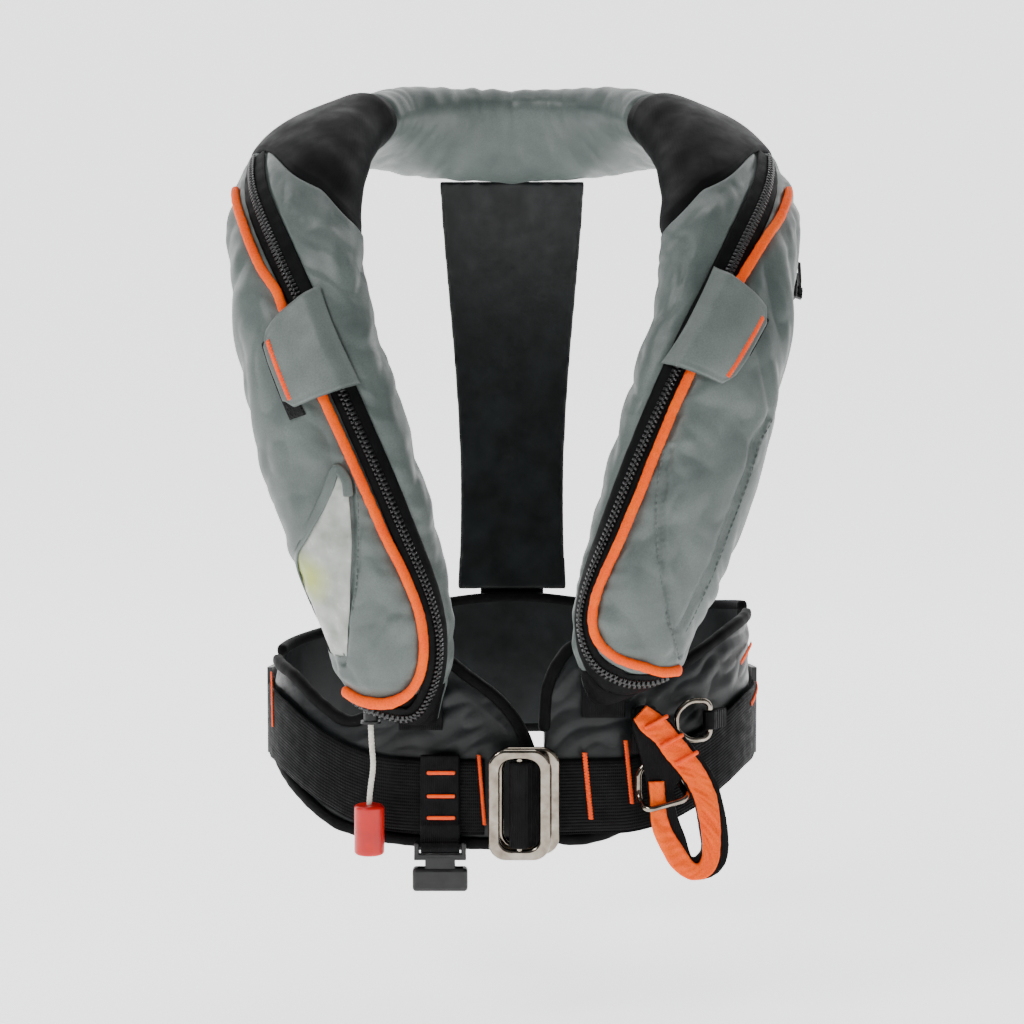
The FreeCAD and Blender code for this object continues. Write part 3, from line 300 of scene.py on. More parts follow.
def steps_across(u, turn, side):
    """Change of u and of turn for one millimetre across a route."""
    step = 0.01
    here = yoke_surface(u, turn, 0, side)
    by_u = (yoke_surface(u + step, turn, 0, side) - here) / step
    by_turn = (yoke_surface(u, turn + step, 0, side) - here) / step
    _, across, _ = surface_frame(u, turn, side)
    uu, tt, ut = dot(by_u, by_u), dot(by_turn, by_turn), dot(by_u, by_turn)
    ru, rt = dot(across, by_u), dot(across, by_turn)
    spread = uu * tt - ut ** 2
    return ((ru * tt - rt * ut) / spread)[:, 0], ((rt * uu - ru * ut) / spread)[:, 0]


def band_on_yoke(u, turn, across, lift, side):
    """Grid of points: the route stepped across by those distances, at that lift."""
    du, dturn = steps_across(u, turn, side)
    grid_u = u[:, None] + du[:, None] * across[None]
    grid_turn = turn[:, None] + dturn[:, None] * across[None]
    return yoke_surface(np.maximum(grid_u, 0.02), grid_turn, lift, side)


# ---------------------------------------------------------------- the waist's surface, as in the part
WAIST_HALF_WIDTH = 152.0
WAIST_HALF_DEPTH = 100.0
WAIST_POWER = 2.3
PAD_THICKNESS = 7.0
BELT_OFFSET = PAD_THICKNESS + 1.0
BELT_THICKNESS = 2.4
BELT_WIDTH = 48.0
BELT_FRONT_Z = -379.0
BELT_SIDE_Z = -345.0
FLANK_TURN = 97.0


def shaped(x, power):
    return np.sign(x) * np.abs(x) ** (2 / power)


def waist_points(turn, offset, z):
    turn, offset, z = np.broadcast_arrays(np.asarray(turn, float), offset, z)
    a = np.radians(turn)
    x = (WAIST_HALF_WIDTH + offset) * shaped(np.sin(a), WAIST_POWER)
    y = -(WAIST_HALF_DEPTH + offset) * shaped(np.cos(a), WAIST_POWER)
    return np.stack([x, y, z], axis=-1)


def waist_turn(x):
    share = np.minimum(np.abs(x) / WAIST_HALF_WIDTH, 1.0) ** (WAIST_POWER / 2)
    return np.sign(x) * np.degrees(np.arcsin(share))


def belt_z(turn):
    return BELT_FRONT_Z + (BELT_SIDE_Z - BELT_FRONT_Z) * smooth((np.abs(turn) - 22) / 55)


# ---------------------------------------------------------------- mesh helpers
def grid_faces(rows, columns, first=0, wrap=False):
    index = first + np.arange(rows * columns).reshape(rows, columns)
    if wrap:
        index = np.hstack([index, index[:, :1]])
    corners = [index[:-1, :-1], index[:-1, 1:], index[1:, 1:], index[1:, :-1]]
    return np.stack(corners, axis=-1).reshape(-1, 4).tolist()


def piece(name, points, faces, body, paint, uv=None, side=LEFT, replaces=(), slot=None):
    """A smooth mesh piece that rides on a body. Points are in millimetres."""
    points = np.asarray(points, float).reshape(-1, 3) * (side * MM, MM, MM)
    mesh = bpy.data.meshes.new(name)
    mesh.from_pydata(points.tolist(), [], faces)
    mesh.validate()
    if uv is not None:
        layer = mesh.uv_layers.new(name="cloth")
        corners = np.zeros(len(mesh.loops), np.int32)
        mesh.loops.foreach_get("vertex_index", corners)
        layer.data.foreach_set("uv", (np.asarray(uv, float).reshape(-1, 2) * MM)[corners].ravel())
    shell = bmesh.new()
    shell.from_mesh(mesh)
    bmesh.ops.recalc_face_normals(shell, faces=shell.faces)
    shell.to_mesh(mesh)
    shell.free()
    mesh.shade_smooth()
    mesh.materials.append(paint)
    made = bpy.data.objects.new(name, mesh)
    bpy.context.scene.collection.objects.link(made)
    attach(made, body)
    if replaces:
        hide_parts(*replaces)
    return made


def grid_uv(grid):
    """Distances along and across a grid, for the weave."""
    steps_along = np.linalg.norm(np.diff(grid, axis=0), axis=2)
    steps_over = np.linalg.norm(np.diff(grid, axis=1), axis=2)
    along = np.concatenate([np.zeros((1, grid.shape[1])), np.cumsum(steps_along, 0)])
    across = np.hstack([np.zeros((grid.shape[0], 1)), np.cumsum(steps_over, 1)])
    return np.stack([along.mean(1, keepdims=True) + 0 * along, across], axis=-1)


def sheet(name, top, bottom, body, paint, **more):
    """A closed sheet between two grids of points."""
    rows, columns = top.shape[:2]
    count = rows * columns
    index = np.arange(count).reshape(rows, columns)
    border = np.concatenate([index[0, :-1], index[:-1, -1], index[-1, :0:-1], index[:0:-1, 0]])
    after = np.roll(border, -1)
    walls = np.stack([border, after, after + count, border + count], axis=1).tolist()
    faces = grid_faces(rows, columns) + grid_faces(rows, columns, count) + walls
    uv = grid_uv(top)
    return piece(name, np.stack([top, bottom]), faces, body, paint, uv=np.stack([uv, uv]), **more)


def edge_round(v, power=8):
    """Share of the thickness across a strip, for v from -1 to 1, closing at both edges."""
    return np.sqrt(np.clip(1 - np.abs(v) ** power, 0, 1))


def rings_along(line, across, up, half_width, half_height, power=2.0, count=16):
    """Rings of points round a line: superellipses, closed at both ends by shrinking rings."""
    angle = np.arange(count) * TAU / count
    c, s = shaped(np.cos(angle), power), shaped(np.sin(angle), power)
    size = len(line)
    half_width = np.broadcast_to(half_width, size)[:, None, None]
    half_height = np.broadcast_to(half_height, size)[:, None, None]
    rings = line[:, None] + across[:, None] * half_width * c[:, None] + up[:, None] * half_height * s[:, None]
    ends = []
    for end, beside in ((0, 1), (-1, -2)):
        outward = unit(line[end] - line[beside]) * half_height[end]
        spokes = rings[end] - line[end]
        ends.append(np.array([line[end] + spokes * math.cos(a) + outward * math.sin(a) for a in (0.5, 1.0, 1.4)]))
    return np.concatenate([ends[0][::-1], rings, ends[1]])


def bar(name, rings, body, paint, **more):
    """A closed bar from rings of points."""
    rows, columns = rings.shape[:2]
    faces = grid_faces(rows, columns, wrap=True)
    faces.append(list(range(columns)))
    faces.append(list(range((rows - 1) * columns, rows * columns)))
    return piece(name, rings, faces, body, paint, uv=grid_uv(rings), **more)


def carried(line, up):
    """Across and up directions along a free line, without twist."""
    along = unit(np.gradient(line, axis=0))
    ups = []
    for direction in along:
        up = unit(up - direction * (up @ direction))
        ups.append(up)
    ups = np.array(ups)
    return np.cross(along, ups), ups


def copies(name, shape, origins, x_dirs, y_dirs, z_dirs, body, paint, **more):
    """Copies of one small (points, faces) shape at many places, as one mesh."""
    points, faces = shape
    placed = (
        origins[:, None] + points[None, :, :1] * x_dirs[:, None]
        + points[None, :, 1:2] * y_dirs[:, None] + points[None, :, 2:] * z_dirs[:, None]
    )
    all_faces = [[v + k * len(points) for v in face] for k in range(len(origins)) for face in faces]
    return piece(name, placed, all_faces, body, paint, **more)


def thread_shape(length, radius, flat=0.8):
    """One stitch along X, a little sunk at its ends."""
    stops = np.array([-1, -0.86, -0.5, 0, 0.5, 0.86, 1])
    sizes = radius * np.array([0.35, 0.8, 1, 1.05, 1, 0.8, 0.35])
    angle = np.arange(8) * TAU / 8
    rings = []
    for x, r in zip(stops, sizes):
        sunk = flat * r * np.sin(angle) - radius * 0.5 * x * x
        rings.append(np.stack([np.full(8, x * length / 2), r * np.cos(angle), sunk], 1))
    faces = grid_faces(7, 8, wrap=True) + [list(range(8)), list(range(48, 56))]
    return np.concatenate(rings), faces


def places_along(line, normal, pitch, fewest=0):
    """Origins, directions along the line and normals at evenly spaced places, about that far apart."""
    run = run_of(line)
    count = max(fewest, int(run[-1] / pitch))
    at = (np.arange(count) + 0.5) * run[-1] / count
    origins, along, normals = (
        np.stack([np.interp(at, run, column) for column in values.T], 1)
        for values in (line, np.gradient(line, axis=0), normal)
    )
    return origins, unit(along), unit(normals)


def stitch_row(name, line, normal, body, paint, **more):
    """Stitches laid along a line on a surface."""
    length, gap, radius = 3.0, 1.1, 0.42
    origins, along, normals = places_along(line, normal, length + gap, 2)
    across = np.cross(normals, along)
    return copies(name, thread_shape(length, radius), origins, along, across, normals, body, paint, **more)


def bar_tack(name, line, normal, width, body, paint, **more):
    """A dense satin stitch: threads laid side by side across a line, each a little askew."""
    pitch, radius = 0.95, 0.62
    origins, along, normals = places_along(line, normal, pitch)
    lean = np.where(np.arange(len(origins)) % 2 == 0, 0.22, -0.12)[:, None]
    across = unit(np.cross(normals, along) + along * lean)
    return copies(name, thread_shape(width, radius), origins, across, np.cross(normals, across), normals,
                  body, paint, **more)


# ---------------------------------------------------------------- materials
def rgb(r, g, b):
    """A colour from screen values of 0 to 255."""
    return tuple(((c / 255 + 0.055) / 1.055) ** 2.4 if c > 10 else c / 255 / 12.92 for c in (r, g, b)) + (1,)


class Finish:
    """A material and short ways to add nodes to it."""

    def __init__(self, name, roughness, **sockets):
        self.material = bpy.data.materials.new(name)
        self.material.use_nodes = True
        self.tree = self.material.node_tree
        self.shader = self.tree.nodes["Principled BSDF"]
        self.shader.inputs["Roughness"].default_value = roughness
        for socket, value in sockets.items():
            self.shader.inputs[socket.replace("_", " ")].default_value = value
        self.heights = []

    def add(self, kind, inputs, **settings):
        node = self.tree.nodes.new("ShaderNode" + kind)
        for key, value in settings.items():
            setattr(node, key, value)
        for key, value in inputs.items():
            if isinstance(value, bpy.types.NodeSocket):
                self.tree.links.new(value, node.inputs[key])
            else:
                node.inputs[key].default_value = value
        return node

    def coordinates(self, kind="Object"):
        return self.add("TexCoord", {}).outputs[kind]

    def noise(self, millimetres, detail=3.0, stretch=(1, 1, 1), kind="Object", roughness=0.5):
        """Noise whose spots are about that large."""
        scaled = self.add("Mapping", {"Vector": self.coordinates(kind), "Scale": stretch})
        scale = 1 / (millimetres * MM)
        values = {"Vector": scaled.outputs[0], "Scale": scale, "Detail": detail, "Roughness": roughness}
        return self.add("TexNoise", values).outputs["Fac"]

    def threads(self, millimetres, direction, kind="UV", distortion=0.0):
        """Parallel threads of that pitch."""
        values = {"Vector": self.coordinates(kind), "Scale": 0.314 / (millimetres * MM), "Distortion": distortion}
        return self.add("TexWave", values, bands_direction=direction).outputs["Fac"]

    def math(self, operation, a, b):
        return self.add("Math", {0: a, 1: b}, operation=operation).outputs[0]

    def remap(self, value, low, high, start=0.3, end=0.7):
        values = {"Value": value, "From Min": start, "From Max": end, "To Min": low, "To Max": high}
        return self.add("MapRange", values).outputs[0]

    def mix(self, share, first, second):
        return self.add("Mix", {0: share, 6: first, 7: second}, data_type="RGBA").outputs[2]

    def colour(self, value):
        self.tree.links.new(value, self.shader.inputs["Base Color"])

    def rough(self, value):
        self.tree.links.new(value, self.shader.inputs["Roughness"])

    def bump(self, height, millimetres, strength=1.0):
        """Adds relief of that depth on top of what is there."""
        values = {"Height": height, "Distance": millimetres * MM, "Strength": strength}
        if self.heights:
            values["Normal"] = self.heights[-1]
        self.heights.append(self.add("Bump", values).outputs[0])
        self.tree.links.new(self.heights[-1], self.shader.inputs["Normal"])


def woven(name, dark, light, roughness, weave, depth, sheen=0.0, mottle=26, kind="UV", specular=0.5):
    """Plain woven cloth: crossed threads, a drifting tone, fine flecks and uneven gloss."""
    finish = Finish(name, roughness, Sheen_Weight=sheen, Sheen_Roughness=0.45, Specular_IOR_Level=specular)
    drift = finish.remap(finish.noise(mottle), 0.0, 1.0)
    base = finish.mix(drift, dark, light)
    fleck = finish.remap(finish.noise(0.9, 2.0), 0.86, 1.12)
    shade = finish.add("Mix", {0: 1.0, 6: base}, data_type="RGBA", blend_type="MULTIPLY")
    grey = finish.add("CombineColor", {0: fleck, 1: fleck, 2: fleck}).outputs[0]
    finish.tree.links.new(grey, shade.inputs[7])
    finish.colour(shade.outputs[2])
    finish.rough(finish.remap(finish.noise(9), roughness - 0.07, roughness + 0.09))
    warp, weft = finish.threads(weave, "X", kind), finish.threads(weave, "Y", kind)
    finish.bump(finish.math("MAXIMUM", warp, weft), depth, 0.6)
    finish.bump(finish.noise(5, 3.0), 0.25, 0.5)
    return finish.material


def webbing(name, dark, light, roughness=0.62, kind="UV"):
    """Heavy webbing: ribs along it, broken by the cross threads."""
    finish = Finish(name, roughness, Specular_IOR_Level=0.12)
    drift = finish.remap(finish.noise(18), 0.0, 1.0)
    ribs = finish.threads(2.1, "Y", kind)
    cross = finish.threads(1.3, "X", kind)
    base = finish.mix(drift, dark, light)
    # the rib crests take the lighter tone, in patches set by noise
    lighter_rib_crests = finish.mix(finish.math("MULTIPLY", ribs, finish.remap(finish.noise(1.4), 0, 0.5)), base, light)
    finish.colour(lighter_rib_crests)
    finish.rough(finish.remap(finish.noise(6), roughness - 0.1, roughness + 0.1))
    finish.bump(ribs, 0.35, 0.8)
    finish.bump(cross, 0.18, 0.8)
    finish.bump(finish.noise(4, 3.0), 0.2, 0.5)
    return finish.material


def knit(name, dark, light):
    """Smooth stretch laminate: black, very fine grain, soft grazing sheen."""
    finish = Finish(name, 0.55, Specular_IOR_Level=0.09)
    finish.colour(finish.mix(finish.remap(finish.noise(30), 0, 1), dark, light))
    finish.rough(finish.remap(finish.noise(12), 0.48, 0.64))
    finish.bump(finish.threads(0.7, "DIAGONAL"), 0.08, 0.6)
    finish.bump(finish.noise(1.2, 2.0), 0.08, 0.6)
    return finish.material


def fuzzy(name, dark, light):
    """Hook tape: a field of tiny stubs."""
    finish = Finish(name, 0.75, Specular_IOR_Level=0.3)
    cells = finish.add("TexVoronoi", {"Vector": finish.coordinates(), "Scale": 1 / (1.5 * MM)}).outputs["Distance"]
    finish.colour(finish.mix(finish.remap(cells, 1, 0, 0.1, 0.6), dark, light))
    finish.bump(finish.remap(cells, 1, 0, 0.0, 0.6), 0.9, 0.9)
    return finish.material


def thread(name, dark, light):
    finish = Finish(name, 0.55, Specular_IOR_Level=0.3)
    finish.colour(finish.mix(finish.remap(finish.noise(3), 0, 1), dark, light))
    finish.bump(finish.noise(0.5, 2.0), 0.1, 0.7)
    return finish.material


def moulded(name, dark, light, roughness, grain=0.06, specular=0.5):
    """Moulded plastic: fine spark texture, faint flow marks, rubbed patches."""
    finish = Finish(name, roughness, Specular_IOR_Level=specular)
    finish.colour(finish.mix(finish.remap(finish.noise(14), 0, 1), dark, light))
    finish.rough(finish.remap(finish.noise(7, 4.0), roughness - 0.08, roughness + 0.12))
    finish.bump(finish.noise(0.7, 3.0), grain, 0.7)
    finish.bump(finish.noise(11, 2.0), 0.25, 0.4)
    return finish.material


def polished(name, base, tint, roughness):
    """Polished steel: brushed lines, small pits, and patches of a darker tint that are a painted dark reflection.
    """
    finish = Finish(name, roughness, Metallic=1.0)
    # painted reflection: the colour drifts from the base to the darker tint in patches, standing for dark
    # surroundings reflected in the metal
    finish.colour(finish.mix(finish.remap(finish.noise(8), 0, 1), base, tint))
    finish.rough(finish.remap(finish.noise(4, 5.0, (1, 1, 8)), roughness - 0.04, roughness + 0.1))
    finish.bump(finish.noise(0.6, 3.0, (1, 1, 0.08)), 0.015, 0.5)
    finish.bump(finish.noise(6, 2.0), 0.12, 0.4)
    return finish.material


def clear_film(name):
    """Soft clear vinyl, milky and creased, with the bright bladder glowing through at one spot."""
    finish = Finish(name, 0.16, Alpha=0.86, Specular_IOR_Level=0.7)
    milky = finish.mix(finish.remap(finish.noise(14), 0, 1), rgb(132, 138, 128), rgb(186, 190, 182))
    spot = tuple(np.multiply(GLOW_SPOT, MM))
    away = finish.add("VectorMath", {0: finish.coordinates(), 1: spot}, operation="DISTANCE").outputs["Value"]
    glow = finish.remap(away, 0.85, 0.0, 4 * MM, 20 * MM)
    finish.colour(finish.mix(glow, milky, rgb(176, 190, 40)))
    finish.rough(finish.remap(finish.noise(7), 0.10, 0.3))
    finish.bump(finish.noise(10, 2.0), 0.8, 0.6)
    return finish.material


GLOW_SPOT = (-124, -146, -232)   # where the bladder shows through the window

PAINT = {
    "grey": woven("grey_cloth", rgb(72, 82, 79), rgb(91, 101, 97), 0.40, 0.55, 0.05, 0.03, 30),
    "tab": woven("tab_cloth", rgb(90, 99, 95), rgb(102, 111, 107), 0.48, 0.55, 0.05, 0.03, 22),
    "orange": woven("orange_cloth", rgb(250, 80, 0), rgb(255, 97, 0), 0.60, 0.6, 0.07, 0.0, 16, specular=0.12),
    "sleeve": woven("sleeve_cloth", rgb(250, 82, 0), rgb(255, 100, 0), 0.56, 0.6, 0.07, 0.0, 14, specular=0.15),
    "wing": woven("wing_cloth", rgb(7, 9, 10), rgb(24, 28, 29), 0.36, 0.6, 0.06, 0.0, 22, specular=0.32),
    "bladder": woven("bladder_cloth", rgb(196, 208, 40), rgb(220, 226, 70), 0.45, 0.7, 0.05, 0.05, 24),
    "tape": woven("zip_tape", rgb(3, 3, 4), rgb(9, 10, 11), 0.60, 0.9, 0.10, 0.0, 15, specular=0.10),
    "black": knit("shoulder_knit", rgb(3, 3, 5), rgb(8, 8, 10)),
    "binding": woven("black_binding", rgb(3, 3, 4), rgb(9, 9, 10), 0.62, 1.0, 0.12, 0.0, 12, specular=0.09),
    "webbing": webbing("belt_webbing", rgb(3, 3, 4), rgb(13, 13, 15)),
    "webbing_plain": webbing("small_webbing", rgb(3, 3, 4), rgb(13, 13, 15), kind="Object"),
    "hook": fuzzy("hook_tape", rgb(7, 7, 8), rgb(26, 26, 27)),
    "stitch": thread("orange_thread", rgb(244, 66, 0), rgb(255, 88, 0)),
    "grey_thread": thread("grey_thread", rgb(74, 82, 80), rgb(92, 100, 97)),
    "red_thread": thread("red_thread", rgb(150, 34, 30), rgb(176, 48, 38)),
    "teeth": moulded("zip_teeth", rgb(5, 5, 6), rgb(12, 12, 14), 0.28, 0.02, 0.6),
    "plastic": moulded("black_plastic", rgb(5, 5, 6), rgb(12, 12, 13), 0.40),
    "toggle": moulded("red_plastic", rgb(190, 10, 8), rgb(216, 20, 14), 0.34, 0.03),
    "rubber": moulded("tube_rubber", rgb(18, 18, 18), rgb(34, 34, 34), 0.6),
    "whistle": moulded("whistle_plastic", rgb(228, 92, 10), rgb(244, 112, 26), 0.35),
    "green": moulded("indicator_green", rgb(70, 168, 44), rgb(96, 188, 60), 0.4),
    # steel and gas steel: the second colour is a painted darker reflection, mixed in by noise
    "steel": polished("polished_steel", rgb(158, 150, 138), rgb(120, 110, 98), 0.10),
    "gas": polished("gas_steel", rgb(176, 180, 176), rgb(150, 156, 150), 0.32),
    "alloy": moulded("inflator_plastic", rgb(18, 18, 20), rgb(34, 34, 36), 0.38),
    "film": clear_film("window_film"),
    "cord": woven("cord_braid", rgb(206, 202, 188), rgb(232, 228, 216), 0.7, 0.5, 0.08, 0.2, 5),
}


# ---------------------------------------------------------------- seams on the lobes, as (station, share)
PIPING_STOPS = {
    RIGHT: [
        (7.25, 0.84), (6.6, 0.55), (6, 0.30), (5.6, 0.06), (5.45, 0.0), (5.2, -0.09), (5, -0.17), (4, -0.38),
        (3, -0.51), (2.2, -0.68), (1.6, -0.66), (1.15, -0.44), (0.9, -0.05), (0.82, 0.40), (0.95, 0.80),
    ],
    LEFT: [
        (7.25, 0.84), (6.6, 0.49), (6, 0.11), (5, -0.42), (4, -0.62), (3, -0.70),
        (2.2, -0.82), (1.8, -0.76), (1.55, -0.44), (1.35, 0.02), (1.15, 0.38), (1.02, 0.76),
    ],
}
ZIP_STOPS = {
    RIGHT: [
        (7.7, 0.62), (7, 0.38), (6, -0.04), (5, -0.455), (4, -0.655), (3, -0.77),
        (2.2, -0.90), (1.6, -0.93), (1.0, -0.84), (0.55, -0.60), (0.38, -0.2), (0.34, 0.3), (0.40, 0.8),
    ],
    LEFT: [
        (7.7, 0.60), (7, 0.32), (6, -0.15), (5, -0.62), (4, -0.82), (3, -0.90), (2.2, -0.975),
        (1.7, -0.96), (1.3, -0.80), (0.95, -0.40), (0.72, 0.1), (0.60, 0.6),
    ],
}
POCKET_STOPS = {
    RIGHT: [(3.69, -0.366), (3.33, -0.263), (2.95, -0.10), (2.6, 0.10), (2.2, 0.37), (1.6, 0.60)],
    LEFT: [(3.80, -0.50), (3.48, -0.44), (3.12, -0.305), (2.75, -0.097), (2.38, 0.165), (1.93, 0.49), (1.4, 0.75)],
}
OUTER_STOPS = [(4.45, 0.754), (4.14, 0.635), (3.71, 0.623), (3.24, 0.601), (2.71, 0.60), (2.25, 0.56), (2.0, 0.52)]
ZIP_HALF_WIDTH = 9.0


SHOULDER_FRONT = 7.25   # station of the shoulder panel's front border, on the front of the lobe
SHOULDER_BACK = 9.3


def shoulder_seam(turn):
    """Station where the black shoulder panel starts: further down the front on the neck side."""
    return SHOULDER_FRONT + 0.72 * np.cos(turn) - 0.25 * smooth((-np.cos(turn) - 0.75) / 0.25)


def seam_distance(base, stops, side):
    """Distance from each point to a seam on the lobe."""
    u, turn = route_on_yoke(stops, 2.0, side)
    return far_from(base, yoke_surface(u, turn, 0, side))


def puff_of(base, side, turn):
    """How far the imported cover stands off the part's surface: full between seams, held in at them."""
    beside = seam_distance(base, ZIP_STOPS[side], side)
    pipe = seam_distance(base, PIPING_STOPS[side], side)
    full = 3.8 - 2.2 * smooth((-np.sin(turn) + 0.2) / 0.8)
    held = np.minimum(beside - ZIP_HALF_WIDTH + 1, pipe)
    puff = full * (1 - np.exp(-np.clip(held, 0, None) / 8.0))
    channel = smooth((ZIP_HALF_WIDTH + 1.5 - beside) / 3.0)
    return puff * (1 - channel) - 0.6 * channel, np.clip(held, 0, None)


def cloth_relief(along, around, seed, angle=0.5, fine=1.0):
    """Soft folds and creases of packed cloth, in millimetres of relief."""
    noise = Noise(seed)
    c, s = math.cos(angle), math.sin(angle)
    warp = noise.of(along / 70, around / 70, 3.1) * 14
    a, b = along * c + around * s + warp, -along * s + around * c + warp
    long_folds = np.abs(noise.of(a / 95, b / 26, 9.7))
    small = np.abs(noise.of(a / 34, b / 13, 21.3))
    swell = noise.of(along / 120, around / 60, 5.5, octaves=2)
    return 2.6 * swell + 4.6 * (long_folds - 0.25) + fine * 1.9 * (small - 0.25)


def puckers(along, held, seed, reach=15.0):
    """Small gathers along a seam that die out away from it."""
    noise = Noise(seed)
    wave = noise.of(along / 9.5, held / 34, 2.2)
    wide = noise.of(along / 23, held / 50, 8.4)
    return (1.3 * wave + 1.9 * wide) * np.exp(-held / reach) * smooth(held / 2.5)


def turns_round(rows, columns):
    """The same evenly spaced turns in every row."""
    return (np.arange(columns) * TAU / columns)[None] + np.zeros((rows, 1))


def tube_run(base):
    """Distances along and around a tube of points, for the cloth relief."""
    uv = grid_uv(base)
    return uv[..., 0], uv[..., 1]


def lobe_shell(word, side):
    """The grey cover of one lobe, from its tip to the shoulder seam."""
    rows, columns = 300, 168
    turn = turns_round(rows, columns)
    share = np.linspace(0, 1, rows)[:, None] ** 1.15
    top = shoulder_seam(turn) + 0.10
    u = 0.012 + (top - 0.012) * share
    base = yoke_surface(u, turn, 0, side)
    puff, held = puff_of(base, side, turn)
    along, around = tube_run(base)
    calm = smooth(held / 14) * smooth((1 - share) * 14)
    relief = calm * cloth_relief(along, around, 11 + side, 0.55) + puckers(along, held, 31 + side)
    dip = 0.0
    for stops in (POCKET_STOPS[side],) + ((OUTER_STOPS,) if side == LEFT else ()):
        dip = dip - 2.4 * np.exp(-(seam_distance(base, stops, side) / 2.2) ** 2)
    tuck = -4.0 * smooth((u - shoulder_seam(turn)) / 0.10)
    lift = puff + relief + dip + tuck
    points = yoke_surface(u, turn, lift, side)
    faces = grid_faces(rows, columns, wrap=True)
    middle_u = corner_mean(u, faces)
    across = corner_mean(np.cos(turn) + 0 * u, faces)
    front = corner_mean(np.sin(turn) + 0 * u, faces) > 0
    if side == RIGHT:
        share = corner_mean(share_of(u, turn, side), faces)
        open_face = front & in_window(middle_u, share)
        faces = [face for face, gone in zip(faces, open_face) if not gone]
        middle_u, across, front = middle_u[~open_face], across[~open_face], front[~open_face]
    dark = front & (middle_u < 0.90 - 0.25 * across) | (middle_u < 0.45)
    faces.append(list(range(columns)))
    made = piece(f"cover_{word}_shell", points, faces, "jacket", PAINT["grey"], uv=grid_uv(points), side=side,
                 replaces=["cover_" + word], slot="cover_cloth")
    made.data.materials.append(PAINT["binding"])
    for polygon, is_dark in zip(made.data.polygons, np.append(dark, True)):
        polygon.material_index = int(is_dark)


def corner_mean(values, faces):
    """The mean of a grid's values over each quad's corners."""
    return values.ravel()[np.array(faces)].mean(1)


def share_of(u, turn, side):
    """The share of the half-width that a turn lies at: the reverse of share_turn."""
    _, _, _, _, a, b = yoke_frame(u, side)
    c, s = np.cos(turn) / a, np.sin(turn) / b
    return c * (np.abs(c) ** SECTION_POWER + np.abs(s) ** SECTION_POWER) ** (-1 / SECTION_POWER)


def in_window(u, share):
    """Whether a spot of the right lobe's front lies well inside the window's outline."""
    table = curve_through(WINDOW_ROWS, 70)[::-1]
    near, far = np.interp(u, table[:, 0], table[:, 1]), np.interp(u, table[:, 0], table[:, 2])
    inside = (u > table[0, 0] + 0.05) & (u < table[-1, 0] - 0.03)
    return inside & (share > near + 0.04) & (share < far - 0.03)


def shoulder_shell(word, side):
    """The smooth black stretch panel over the shoulder."""
    rows, columns = 130, 140
    turn = turns_round(rows, columns)
    share = np.linspace(0, 1, rows)[:, None]
    low = shoulder_seam(turn)
    u = low + (SHOULDER_BACK - low) * share
    base = yoke_surface(u, turn, 0, side)
    along, around = tube_run(base)
    noise = Noise(51 + side)
    neck = smooth((-np.cos(turn) - 0.1) / 0.8)
    gather = neck * 1.6 * noise.of(along / 22, around / 60, 0)
    soft = 1.2 * noise.of(along / 70, around / 60, 4)
    edge = np.minimum(run_edge(along), 8.0)
    puff = 3.4 * np.sqrt(edge / 8.0) - 1.4 * np.exp(-edge / 0.8)
    points = yoke_surface(u, turn, puff + (gather + soft) * smooth(edge / 8.0), side)
    piece(f"shoulder_{word}_panel", points, grid_faces(rows, columns, wrap=True), "jacket",
                    PAINT["black"], uv=grid_uv(points), side=side, slot="stretch_panel",
                    replaces=["shoulder_" + word])


def run_edge(along):
    """Distance to the nearer end of a tube."""
    return np.minimum(along - along[:1], along[-1:] - along)


def collar_shell():
    """The grey roll behind the neck."""
    rows, columns = 150, 110
    turn = turns_round(rows, columns)
    u = np.linspace(SHOULDER_BACK - 0.06, 2 * NAPE - SHOULDER_BACK + 0.06, rows)[:, None] + 0 * turn
    base = yoke_surface(u, turn, 0, LEFT)
    along, around = tube_run(base)
    edge = run_edge(along)
    noise = Noise(71)
    folds = 2.2 * np.abs(noise.of(along / 16, around / 60, 0)) - 0.5
    tuck = -4.5 * (1 - smooth(edge / 5.0))
    points = yoke_surface(u, turn, 1.6 + folds * smooth(edge / 12) + tuck, LEFT)
    piece("collar_roll", points, grid_faces(rows, columns, wrap=True), "jacket", PAINT["grey"],
                    uv=grid_uv(points), replaces=["collar_cover"], slot="cover_cloth")


def bladder_pack():
    """The yellow bladder inside the cover, drawn in behind the window to leave room for the inflator."""
    rows, columns = 220, 48
    turn = turns_round(rows, columns)
    u = np.linspace(1.0, 2 * NAPE - 1.0, rows)[:, None] + 0 * turn
    base = yoke_surface(u, turn, 0, LEFT)
    along, around = tube_run(base)
    noise = Noise(81)
    folds = 1.6 * np.abs(noise.of(along / 40, around / 9, 0))
    from_right_tip = 2 * NAPE - u
    window = smooth((4.3 - from_right_tip) / 0.8) * smooth((np.sin(turn) + 0.3) / 0.5)
    points = yoke_surface(u, turn, -9.5 + folds - 8.5 * window, LEFT)
    rings = [list(range(columns)), list(range((rows - 1) * columns, rows * columns))]
    piece("bladder_pack", points, grid_faces(rows, columns, wrap=True) + rings, "jacket", PAINT["bladder"],
          uv=grid_uv(points), replaces=["bladder"], slot="bladder_film")


